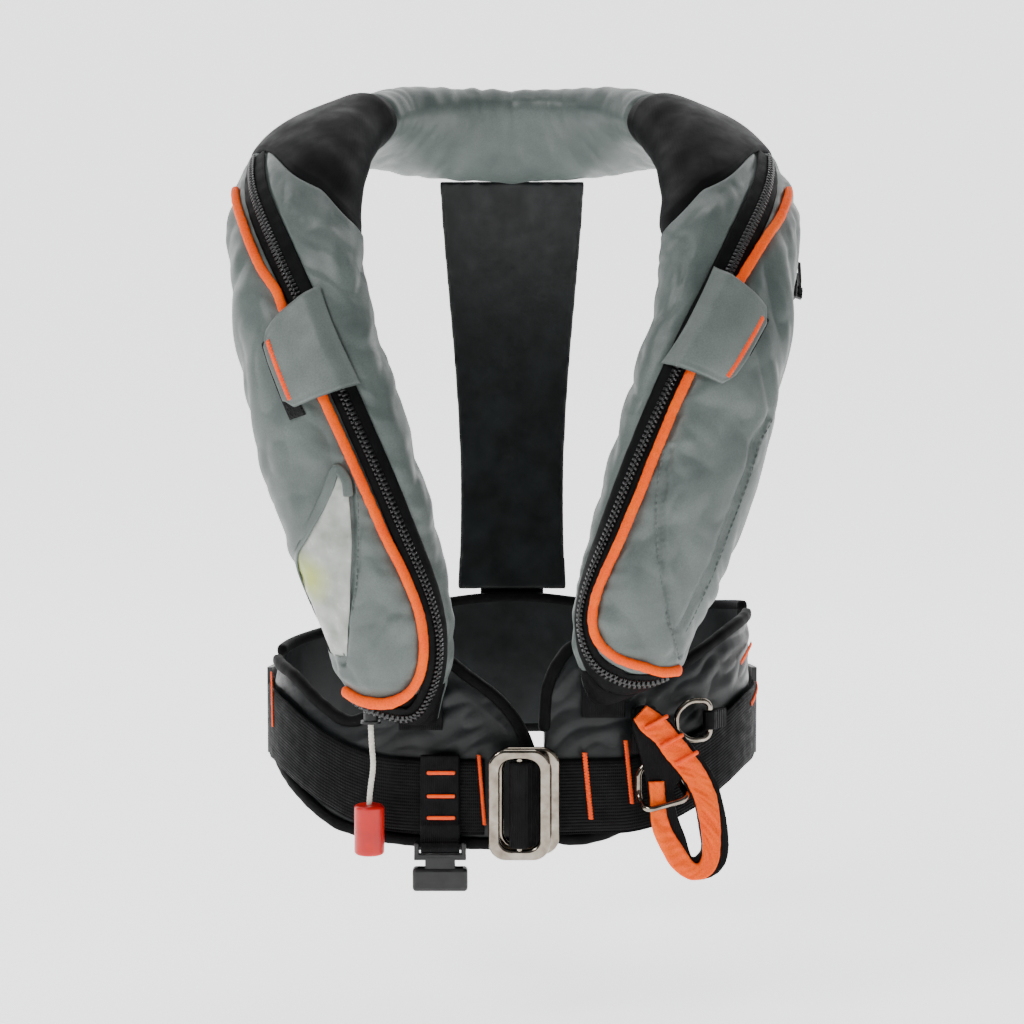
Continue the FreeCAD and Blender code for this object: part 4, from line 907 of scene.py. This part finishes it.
def piping(word, side):
    """The bright cord binding beside the zip: stuffed, gathered every few millimetres."""
    u, turn = route_on_yoke(PIPING_STOPS[side], 0.8, side)
    along, across, up = surface_frame(u, turn, side)
    line = yoke_surface(u, turn, 2.9, side)
    run = run_of(line)
    noise = Noise(91 + side)
    gather = noise.of(run / 4.6, side, 0)
    wander = noise.of(run / 24, 7 + side, 0)
    bottom = smooth((1.3 - u) / 0.4)
    half = 3.15 + 0.7 * bottom + 0.28 * gather
    line = line + across * (0.5 * wander)[:, None]
    rings = rings_along(line, across, up, half, 2.7 + 0.22 * gather, 2.2, 20)
    twist = 0.16 * noise(rings * (1 / 3.0))
    rings = rings + unit(rings - rings.mean(1, keepdims=True)) * twist[..., None]
    bar(f"piping_{word}_cord", rings, "jacket", PAINT["orange"], side=side, slot="piping",
        replaces=["piping_" + word])


def zip_tooth():
    """A moulded tooth: a block with a rounded head that points across the chain."""
    x, y, z = 2.0, 3.5, 1.5
    outline = [
        (-0.5, -0.5), (0.5, -0.5), (0.42, 0.18), (0.62, 0.42), (0.34, 0.62), (-0.34, 0.62), (-0.62, 0.42),
        (-0.42, 0.18),
    ]
    points, count = [], len(outline)
    for level, grow in ((0.0, 1.0), (0.62, 1.0), (1.0, 0.62)):
        points += [(px * x * grow, (py - 0.1) * y * grow + 0.1 * y, level * z) for px, py in outline]
    ends = [list(range(count)), list(range(2 * count, 3 * count))]
    return np.array(points), grid_faces(3, count, wrap=True) + ends


def burst_zip(word, side):
    """Zip tape along a lobe's seam with its two rows of teeth."""
    chain_at = 1.6
    u, turn = route_on_yoke(ZIP_STOPS[side], 1.2, side)
    v = np.linspace(-1, 1, 15)
    rib = 0.35 * np.exp(-((v * ZIP_HALF_WIDTH - chain_at) / 3.6) ** 2)
    noise = Noise(5 + side)
    run = run_of(yoke_surface(u, turn, 0, side))
    ripple = 0.3 * noise.of(run / 9, 0, side)[:, None]
    rim = 0.5 * edge_round(v)[None]
    top = band_on_yoke(u, turn, v * ZIP_HALF_WIDTH, 1.1 + rim + rib[None] + ripple, side)
    low = band_on_yoke(u, turn, v * ZIP_HALF_WIDTH, 0.9 - rim + ripple, side)
    sheet(f"zip_{word}_tape", top, low, "jacket", PAINT["tape"], side=side, replaces=["zip_" + word],
          slot="zip_tape")
    pitch = 1.55
    u, turn = route_on_yoke(ZIP_STOPS[side], pitch, side)
    offset = np.where(np.arange(len(u)) % 2 == 0, -1.0, 1.0)
    du, dturn = steps_across(u, turn, side)
    at = chain_at + offset * 1.25
    spots = yoke_surface(np.maximum(u + du * at, 0.02), turn + dturn * at, 1.75, side)
    along, across, up = surface_frame(u, turn, side)
    copies(f"zip_{word}_teeth", zip_tooth(), spots, along, across * -offset[:, None], up, "jacket",
           PAINT["teeth"], side=side)


# ---------------------------------------------------------------- tabs
TAB_CORNERS = {
    RIGHT: ((5.54, -0.535), (4.40, -0.785), (4.36, 0.18), (5.17, 0.33)),
    LEFT: ((5.755, -0.445), (4.615, -0.865), (4.55, -0.01), (5.44, 0.40)),
}
TAB_LIFT = 8.4
TAB_SEAM_LIFT = 3.2
TAB_TIP_LIFT = 4.2
TAB_THICKNESS = 1.6


def between_corners(along, across, side):
    """Station and share at that place between the tab's corners."""
    (u0, s0), (u1, s1), (u2, s2), (u3, s3) = TAB_CORNERS[side]
    seam_u, seam_s = u0 + (u1 - u0) * along, s0 + (s1 - s0) * along
    tip_u, tip_s = u3 + (u2 - u3) * along, s3 + (s2 - s3) * along
    return seam_u + (tip_u - seam_u) * across, seam_s + (tip_s - seam_s) * across


def tab_surface(along, across, extra, side):
    """A point of the tab, from its sewn edge to its tip, with both outer corners cut off."""
    cut = 0.13 * smooth((across - 0.86) / 0.14)
    u, share = between_corners(0.5 + (along - 0.5) * (1 - 2 * cut), across, side)
    rise = TAB_SEAM_LIFT + (TAB_LIFT - TAB_SEAM_LIFT) * smooth(across / 0.3)
    fall = (TAB_TIP_LIFT - TAB_LIFT) * smooth((across - 0.55) / 0.45)
    return yoke_surface(u, share_turn(u, share, side), rise + fall + extra, side)


def closing_tab(word, side):
    """The grey flap over the zip, with the dip of its stitched border, and its bright bar tack."""
    name, body = f"tab_{word}_cloth", f"tab_{word}_flap"
    rows, columns = 46, 60
    a = np.linspace(0, 1, rows)[:, None] + np.zeros((1, columns))
    c = np.linspace(0, 1, columns)[None] + np.zeros((rows, 1))
    noise = Noise(101 + side)
    sag = 0.5 * noise.of(a * 2.2, c * 2.6, side)
    rim = edge_round(2 * a - 1, 26) * edge_round(2 * c - 1, 34)
    hem = -0.35 * np.exp(-((np.minimum.reduce([a * 46, (1 - a) * 46, (1 - c) * 48]) - 3.2) / 0.8) ** 2)
    top = tab_surface(a, c, 0.8 + 0.9 * rim + sag + hem, side)
    low = tab_surface(a, c, 0.8 - 0.7 * rim + sag, side)
    sheet(name, top, low, body, PAINT["tab"], side=side, replaces=["tab_" + word], slot="tab_cloth")
    lane = np.linspace(0.13, 0.90, 60)
    tack = tab_surface(lane, np.full(60, 0.885), 1.9, side)
    above = tab_surface(lane, np.full(60, 0.885), 2.9, side)
    bar_tack(name + "_tack", tack, unit(above - tack), 3.6, body, PAINT["stitch"], side=side, slot="stitching")


def hook_pad(word, side):
    """The black hook patch under the tab's tip."""
    rows, columns = 40, 16
    a = (0.06 + 1.06 * np.linspace(0, 1, rows))[:, None] + np.zeros((1, columns))
    c = (0.80 + 0.24 * np.linspace(0, 1, columns))[None] + np.zeros((rows, 1))
    u, share = between_corners(a, c, side)
    turn = share_turn(u, share, side)
    rim = edge_round(np.linspace(-1, 1, rows), 20)[:, None] * edge_round(np.linspace(-1, 1, columns), 14)[None]
    top = yoke_surface(u, turn, 3.4 + 1.2 * rim, side)
    low = yoke_surface(u, turn, 3.4 - 1.2 * rim, side)
    sheet(f"hook_{word}_pad", top, low, "jacket", PAINT["hook"], side=side, replaces=["hook_" + word],
          slot="hook_tape")


# ---------------------------------------------------------------- window and pocket seams
WINDOW_ROWS = [
    (3.66, -0.30, -0.20), (3.42, -0.25, 0.08), (3.15, -0.16, 0.48), (2.90, -0.06, 0.85), (2.55, 0.14, 0.97),
    (2.1, 0.38, 0.97), (1.65, 0.58, 0.95),
]


def window():
    """Clear film in the right lobe with its cloth binding."""
    table = curve_through(WINDOW_ROWS, 70)
    v = np.linspace(0, 1, 26)
    u = table[:, :1] + 0 * v[None]
    share = table[:, 1:2] + (table[:, 2:] - table[:, 1:2]) * v[None]
    turn = share_turn(u, share, RIGHT)
    noise = Noise(121)
    base = yoke_surface(u, turn, 0, RIGHT)
    crease = 0.9 * noise(base / 16) + 0.5 * np.abs(noise(base / 8))
    top = yoke_surface(u, turn, 3.4 + crease, RIGHT)
    low = yoke_surface(u, turn, 2.9 + crease, RIGHT)
    sheet("window_film", top, low, "jacket", PAINT["film"], side=RIGHT, replaces=["window"], slot="window_film")
    edge = np.vstack([table[::-1, [0, 1]][-12:], table[:, [0, 2]]])[:62]
    run_u, run_turn = route_on_yoke(edge[::6], 1.0, RIGHT)
    along, across, up = surface_frame(run_u, run_turn, RIGHT)
    rings = rings_along(yoke_surface(run_u, run_turn, 3.6, RIGHT), across, up, 3.2, 0.9, 3.0, 14)
    bar("window_binding", rings, "jacket", PAINT["grey"], side=RIGHT, slot="cover_cloth")


def seam_stitches(name, stops, side, aside):
    """A line of stitches beside a seam."""
    u, turn = route_on_yoke(stops, 1.2, side)
    du, dturn = steps_across(u, turn, side)
    u, turn = u + du * aside, turn + dturn * aside
    line = yoke_surface(u, turn, 3.9, side)
    _, _, up = surface_frame(u, turn, side)
    stitch_row(name, line, up, "jacket", PAINT["grey_thread"], side=side, slot="stitching")


def side_zip():
    """The second zip, along the outer edge of the left lobe."""
    u = np.linspace(1.7, 6.7, 160)
    turn = np.full_like(u, math.radians(-7))
    v = np.linspace(-1, 1, 11)
    top = band_on_yoke(u, turn, v * 6.5, 3.6 + 0.6 * edge_round(v)[None], LEFT)
    low = band_on_yoke(u, turn, v * 6.5, 3.4 - 0.6 * edge_round(v)[None], LEFT)
    sheet("side_zip_tape", top, low, "jacket", PAINT["tape"], replaces=["side_zip"], slot="zip_tape")


def yoke_pieces():
    collar_shell()
    bladder_pack()
    for word, side in BOTH:
        for make in (lobe_shell, shoulder_shell, piping, burst_zip, closing_tab, hook_pad):
            make(word, side)
        seam_stitches(f"pocket_stitches_{word}", POCKET_STOPS[side], side, -3.2)
    seam_stitches("outer_stitches_left", OUTER_STOPS, LEFT, 3.4)
    window()
    side_zip()


yoke_pieces()


# ---------------------------------------------------------------- waist wings
RIGHT_WING_TOP = [(12, -352), (4, -333), (-8, -317), (-27, -302), (-45, -291), (-66, -309), (-84, -326),
                  (-102, -334), (-120, -325), (-138, -310), (-151, -305)]
RIGHT_WING_BOTTOM = [(12, -409), (-10, -409.5), (-45, -409), (-70, -408), (-95, -405), (-115, -399), (-138, -382),
                     (-151, -368)]
LEFT_WING_TOP = [(20, -334), (21, -314), (27, -296), (40, -282), (58, -294), (78, -302), (97, -302),
                 (117, -291), (138, -279), (151, -274)]
LEFT_WING_BOTTOM = [(20, -403), (36, -407), (54, -405), (79, -395), (100, -385), (120, -375), (140, -364),
                    (151, -357)]


def edge_of(outline, count):
    """An outline's height at evenly spaced turns round the front."""
    line = curve_through(outline, 300)
    turns = waist_turn(line[:, 0])
    order = np.argsort(turns)
    at = np.linspace(turns.min(), turns.max(), count)
    return at, np.interp(at, turns[order], line[order, 1])


def binding(name, turns, height, noise=None):
    """The black binding round an edge of a wing, gathered where noise is given."""
    centre = waist_points(turns, 3.6, height)
    up = unit(waist_points(turns, 4.6, height) - centre)
    across = unit(np.cross(np.gradient(centre, axis=0), up))
    gather = noise.of(run_of(centre) / 9, 0, 4) if noise else 0.0
    rings = rings_along(centre, across, up, 3.9 + 0.3 * gather, 3.5 + 0.3 * gather, 2.6, 16)
    bar(name, rings, "jacket", PAINT["binding"])


def wing(name, top_line, bottom_line, node, seed):
    """A padded wing: cloth between a top and a bottom edge, with folds above the belt."""
    rows, columns = 210, 84
    turn, high = edge_of(top_line, rows)
    _, low = edge_of(bottom_line, rows)
    v = np.linspace(0, 1, columns)
    z = low[:, None] + (high - low)[:, None] * v[None]
    grid_turn = turn[:, None] + 0 * z
    flat = waist_points(grid_turn, 0, z)
    edge = np.minimum(np.minimum(z - low[:, None], high[:, None] - z), 14)
    noise = Noise(seed)
    run = run_of(flat[:, 0])[:, None] + 0 * z
    slant = run + 0.6 * z
    folds = 2.6 * np.abs(noise.of(slant / 34, (z - 0.6 * run) / 16, seed)) - 0.6
    above = smooth((z - belt_z(grid_turn) - 24) / 14)
    puff = (PAD_THICKNESS - 1.6) * np.sqrt(np.clip(edge, 0, 14) / 14 * 0.7 + 0.3)
    outer = waist_points(grid_turn, puff + folds * above * smooth(edge / 10), z)
    inner = waist_points(grid_turn, 0.6 + 0 * z, z)
    sheet(name, outer, inner, "jacket", PAINT["wing"], replaces=[node], slot="wing_cloth")
    for word, line in (("top", top_line), ("bottom", bottom_line)):
        binding(f"{name}_{word}_binding", *edge_of(line, 220), noise)


def back_wing():
    """The padded band across the small of the back."""
    top = [(98, -274), (130, -281), (160, -284), (180, -280), (200, -286), (230, -298), (262, -304)]
    bottom = [(98, -357), (140, -366), (180, -371), (220, -370), (262, -364)]
    rows, columns = 190, 60
    upper, lower = curve_through(top, rows), curve_through(bottom, rows)
    turn = np.linspace(98, 262, rows)
    high = np.interp(turn, upper[:, 0], upper[:, 1])
    low = np.interp(turn, lower[:, 0], lower[:, 1])
    z = low[:, None] + (high - low)[:, None] * np.linspace(0, 1, columns)[None]
    grid_turn = turn[:, None] + 0 * z
    edge = np.clip(np.minimum(z - low[:, None], high[:, None] - z), 0, 14)
    noise = Noise(161)
    flat = waist_points(grid_turn, 0, z)
    folds = 1.8 * np.abs(noise(flat / (30, 30, 14))) - 0.4
    puff = (PAD_THICKNESS - 1.4) * np.sqrt(edge / 14 * 0.7 + 0.3)
    outer = waist_points(grid_turn, puff + folds * smooth(edge / 10) * smooth(np.abs(z + 345) / 30 - 0.6), z)
    sheet("back_wing_pad", outer, waist_points(grid_turn, 0.6 + 0 * z, z), "jacket", PAINT["wing"],
                    replaces=["back_wing"], slot="wing_cloth")
    for word, height in (("top", high), ("bottom", low)):
        binding(f"back_wing_{word}_binding", turn, height)


# ---------------------------------------------------------------- belts
def belt_webbing(word, turns, height, seed):
    """A length of the belt round the waist, with soft edges and a slight wander."""
    v = np.linspace(-1, 1, 17)
    noise = Noise(200 + seed)
    wander = 0.5 * noise.of(turns / 9, 0, 0)
    bow = 0.35 * noise.of(turns / 5, 5, 0)
    z = (height(turns) + wander)[:, None] + v[None] * BELT_WIDTH / 2
    middle = BELT_OFFSET + BELT_THICKNESS / 2 + bow[:, None] + 0 * z
    half = BELT_THICKNESS / 2 * edge_round(v, 10)[None]
    top = waist_points(turns[:, None] + 0 * z, middle + half, z)
    low = waist_points(turns[:, None] + 0 * z, middle - half, z)
    sheet(f"belt_{word}_webbing", top, low, "jacket", PAINT["webbing"], replaces=["belt_" + word],
          slot="belt_webbing")


RIGHT_BELT_START_X = -16.5
LEFT_BELT_START_X = 22.0
BACK_BELT_TURNS = (107.5, 252.5)


def belts():
    right_start, left_start = float(waist_turn(RIGHT_BELT_START_X)), float(waist_turn(LEFT_BELT_START_X))
    belt_webbing("right", np.linspace(right_start, -FLANK_TURN, 200), belt_z, 1)
    belt_webbing("left", np.linspace(left_start, FLANK_TURN, 200), belt_z, 2)
    belt_webbing("back", np.linspace(*BACK_BELT_TURNS, 240), lambda turn: BELT_SIDE_Z + 0 * turn, 3)


BELT_FACE = BELT_OFFSET + BELT_THICKNESS + 0.5   # a tack lies this far off the waist when it is on the belt


def belt_tack(name, x, z_low, z_high, lean, width, replaces=(), paint="stitch", raised=BELT_FACE):
    """A tack on the front belt or a wing, upright but for its lean."""
    z = np.linspace(z_high, z_low, 40)
    xs = x + lean * (np.linspace(0, 1, 40) - 0.5)
    at = waist_turn(xs)
    line = waist_points(at, raised, z)
    out = unit(waist_points(at, raised + 1, z) - line)
    bar_tack(name, line, out, width, "jacket", PAINT[paint], replaces=replaces, slot="stitching")


def belt_tacks():
    belt_tack("tack_right_flank", -147.0, -346, -310, 0.6, 2.4, ["belt_tacks_right"])
    belt_tack("tack_left_near", 45.0, -393, -350, 4.0, 3.4, ["belt_tacks_left"])
    belt_tack("tack_left_far", 69.5, -384, -343, 4.0, 3.0)
    belt_tack("tack_buckle", -18.0, -396, -351, 3.4, 2.4)
    belt_tack("tack_flank_upper", 145.5, -302.0, -292.5, -7.5, 3.2, raised=PAD_THICKNESS + 1.2)
    belt_tack("tack_flank_lower", 150.0, -331.0, -322.0, -7.0, 3.2, raised=BELT_FACE + 0.1)


def pieces_of_waist():
    wing("waist_wing_right_pad", RIGHT_WING_TOP, RIGHT_WING_BOTTOM, "waist_wing_right", 141)
    wing("waist_wing_left_pad", LEFT_WING_TOP, LEFT_WING_BOTTOM, "waist_wing_left", 151)
    back_wing()
    belts()
    belt_tacks()


pieces_of_waist()


# ---------------------------------------------------------------- pieces that keep the part's own shape
def soft_copy(name, node, body, paint, voxel=0.9, rounds=3, taller=1.0):
    """The part's own solid, remeshed and softened into sewn webbing. Taller stretches it about its middle."""
    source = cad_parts[node]
    mesh = source.data.copy()
    made = bpy.data.objects.new(name, mesh)
    bpy.context.scene.collection.objects.link(made)
    remesh = made.modifiers.new("remesh", "REMESH")
    remesh.mode = "VOXEL"
    remesh.voxel_size = voxel * MM
    ease = made.modifiers.new("ease", "SMOOTH")
    ease.iterations = rounds
    ease.factor = 0.5
    bpy.context.view_layer.update()
    final = bpy.data.meshes.new_from_object(made.evaluated_get(bpy.context.evaluated_depsgraph_get()))
    made.modifiers.clear()
    made.data = final
    spots = np.zeros(len(final.vertices) * 3)
    final.vertices.foreach_get("co", spots)
    heights = spots[2::3]
    middle = (heights.max() + heights.min()) / 2
    spots[2::3] = middle + (heights - middle) * taller
    final.vertices.foreach_set("co", spots)
    final.materials.clear()
    final.materials.append(paint)
    final.shade_smooth()
    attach(made, body)
    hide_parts(node)
    return made


def soft_copies():
    webbing_nodes = {
        "crotch_loop": "jacket", "tether_webbing": "tether_loop",
        "tether_anchor": "jacket", "ring_keeper": "jacket", "lobe_hanger_right": "jacket",
        "lobe_hanger_left": "jacket", "back_strap": "jacket",
    }
    for node, body in webbing_nodes.items():
        soft_copy(node + "_webbing", node, body, PAINT["webbing_plain"])
    soft_copy("buckle_fold", "belt_end_fold", "buckle_front", PAINT["webbing_plain"], taller=1.14)
    soft_copy("back_panel_pad", "back_panel", "jacket", PAINT["wing"], 1.6, 6)
    soft_copy("tether_ribs", "tether_tacks", "tether_loop", PAINT["stitch"], 0.5)
    soft_copy("crotch_stitches", "crotch_tacks", "jacket", PAINT["stitch"], 0.5)


# outlines of the loop's sleeve as (x, z) from the front, before the loop leans back
SLEEVE_OUTSIDE = [(84, -318.5), (95, -326.5), (103, -336), (111, -346), (119.5, -358), (126, -370), (129.7, -381),
                  (131.6, -395), (131.9, -411), (130, -423), (124, -430.5), (115.4, -432.5), (107.6, -429.5),
                  (100, -422.5), (93.8, -411.5), (89.5, -402), (87.3, -392), (86.8, -380), (85.8, -367.5)]
SLEEVE_INSIDE = [(76, -327), (81, -335), (89.5, -342.5), (97.3, -353.5), (106.4, -364.5), (114, -377.5),
                 (117.6, -390), (120.2, -405), (120.4, -416), (118, -421.5), (113.5, -419.5), (106.5, -408.5),
                 (100.6, -399), (97.2, -389), (96.2, -378.5), (95.3, -367.5)]
LOOP_HINGE = (74.0, -112.5)    # x and y of the upright that the loop leans about
LOOP_LEAN = math.radians(12)
SLEEVE_FRONT = -118.4
SLEEVE_BACK = -115.4


def leaned(points):
    """Loop points drawn from the front, set in the leaned plane."""
    x, y = (points[..., 0] - LOOP_HINGE[0]) / math.cos(LOOP_LEAN), points[..., 1] - LOOP_HINGE[1]
    c, s = math.cos(LOOP_LEAN), math.sin(LOOP_LEAN)
    return np.stack([LOOP_HINGE[0] + x * c - y * s, LOOP_HINGE[1] + x * s + y * c, points[..., 2]], -1)


def tether_sleeve():
    """The bright sleeve sewn over the loop: a flat tube of cloth, gathered so that it ripples along its length."""
    rows, columns = 420, 22
    outside = curve_through([(x, 0, z) for x, z in SLEEVE_OUTSIDE], rows)
    inside = curve_through([(x, 0, z) for x, z in SLEEVE_INSIDE], rows)
    v = np.linspace(0, 1, columns)
    run = run_of(0.5 * (outside + inside))[:, None]
    noise = Noise(171)
    slanted = run + 9 * (v[None] - 0.5)
    ripple = noise.of(slanted / 4.6, v * 1.2, 0)
    broad = noise.of(slanted / 12, v * 2, 5)
    hem = smooth(np.minimum(v, 1 - v) / 0.10)[None]
    height = 0.8 * hem + (0.75 * ripple + 0.7 * broad) * hem
    spread = (v - 0.5) * (1.0 + 0.05 * noise.of(run[:, 0] / 5, 0, 9)[:, None])
    flat = outside[:, None] + (inside - outside)[:, None] * (spread + 0.5)[..., None]
    top, low = flat.copy(), flat.copy()
    top[..., 1] = SLEEVE_FRONT + 0.9 - height
    low[..., 1] = SLEEVE_BACK + 0 * height
    sheet("tether_sleeve_cloth", leaned(top), leaned(low), "tether_loop", PAINT["sleeve"], slot="sleeve_cloth",
          replaces=["tether_sleeve"])


def red_tacks():
    """The two dark red tacks behind the loop."""
    belt_tack("tack_red_upper", 86.5, -349.5, -348.0, 7.0, 3.0, paint="red_thread")
    belt_tack("tack_red_lower", 93.0, -360.5, -358.5, 8.0, 3.0, paint="red_thread")


def repaint_nodes():
    """Gives every part that keeps its own shape its finish."""
    finishes = {
        "buckle_front_frame": "steel", "buckle_rear_frame": "steel", "lower_ring": "steel", "upper_ring": "steel",
        "crotch_socket": "plastic", "back_slide": "plastic", "side_slide_right": "plastic",
        "side_slide_left": "plastic", "zip_slider": "teeth", "zip_pull": "plastic", "gas_cylinder": "gas",
        "inflator_body": "alloy", "sensor_cap": "whistle", "status_tag": "green", "firing_lever": "plastic",
        "oral_tube": "rubber", "oral_tube_cap": "plastic", "whistle": "whistle", "grommet": "plastic",
        "pull_cord_inner": "cord", "pull_toggle": "toggle",
    }
    for node, paint in finishes.items():
        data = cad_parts[node].data
        data.materials.clear()
        data.materials.append(PAINT[paint])


soft_copies()
tether_sleeve()
red_tacks()
repaint_nodes()


# ---------------------------------------------------------------- manual pull cord
CORD_TOP = (-89.0, -119.0, -329.0)
CORD_ROUTE = [(0, 0, 0), (0.3, -0.4, -12), (1.9, -0.9, -27), (-0.6, -0.6, -42), (-1.2, -0.3, -52)]
CORD_RADIUS = 1.75


def cord_line():
    """Points read from the smooth curve through the cord's route, in millimetres."""
    data = bpy.data.curves.new("cord_line", "CURVE")
    data.dimensions = "3D"
    data.resolution_u = 48
    spline = data.splines.new("NURBS")
    spline.points.add(len(CORD_ROUTE) - 1)
    for point, spot in zip(spline.points, CORD_ROUTE):
        point.co = (*(np.add(CORD_TOP, spot) * MM), 1)
    spline.order_u = 3
    spline.use_endpoint_u = True
    holder = bpy.data.objects.new("cord_line", data)
    mesh = bpy.data.meshes.new_from_object(holder)
    points = np.array([v.co for v in mesh.vertices]) / MM
    bpy.data.objects.remove(holder)
    return points


def pull_cord():
    """A braided cord: strands stand proud in two crossing helices."""
    path = cord_line()
    line = resampled(path, run_of(path), 260)
    across, up = carried(line, np.array([0.0, -1.0, 0.0]))
    rings = rings_along(line, across, up, CORD_RADIUS, CORD_RADIUS, 2.0, 28)
    run = np.concatenate([[0] * 3, run_of(line), [run_of(line)[-1]] * 3])[:, None]
    angle = (np.arange(28) * TAU / 28)[None]
    strands = np.abs(np.sin(angle * 2 + run * 1.35)) * np.abs(np.sin(angle * 2 - run * 1.35))
    middle = rings.mean(1, keepdims=True)
    rings = middle + (rings - middle) * (0.88 + 0.16 * np.sqrt(strands))[..., None]
    made = bar("pull_cord_braid", rings, "manual_pull", PAINT["cord"], replaces=["pull_cord"], slot="cord")


pull_cord()
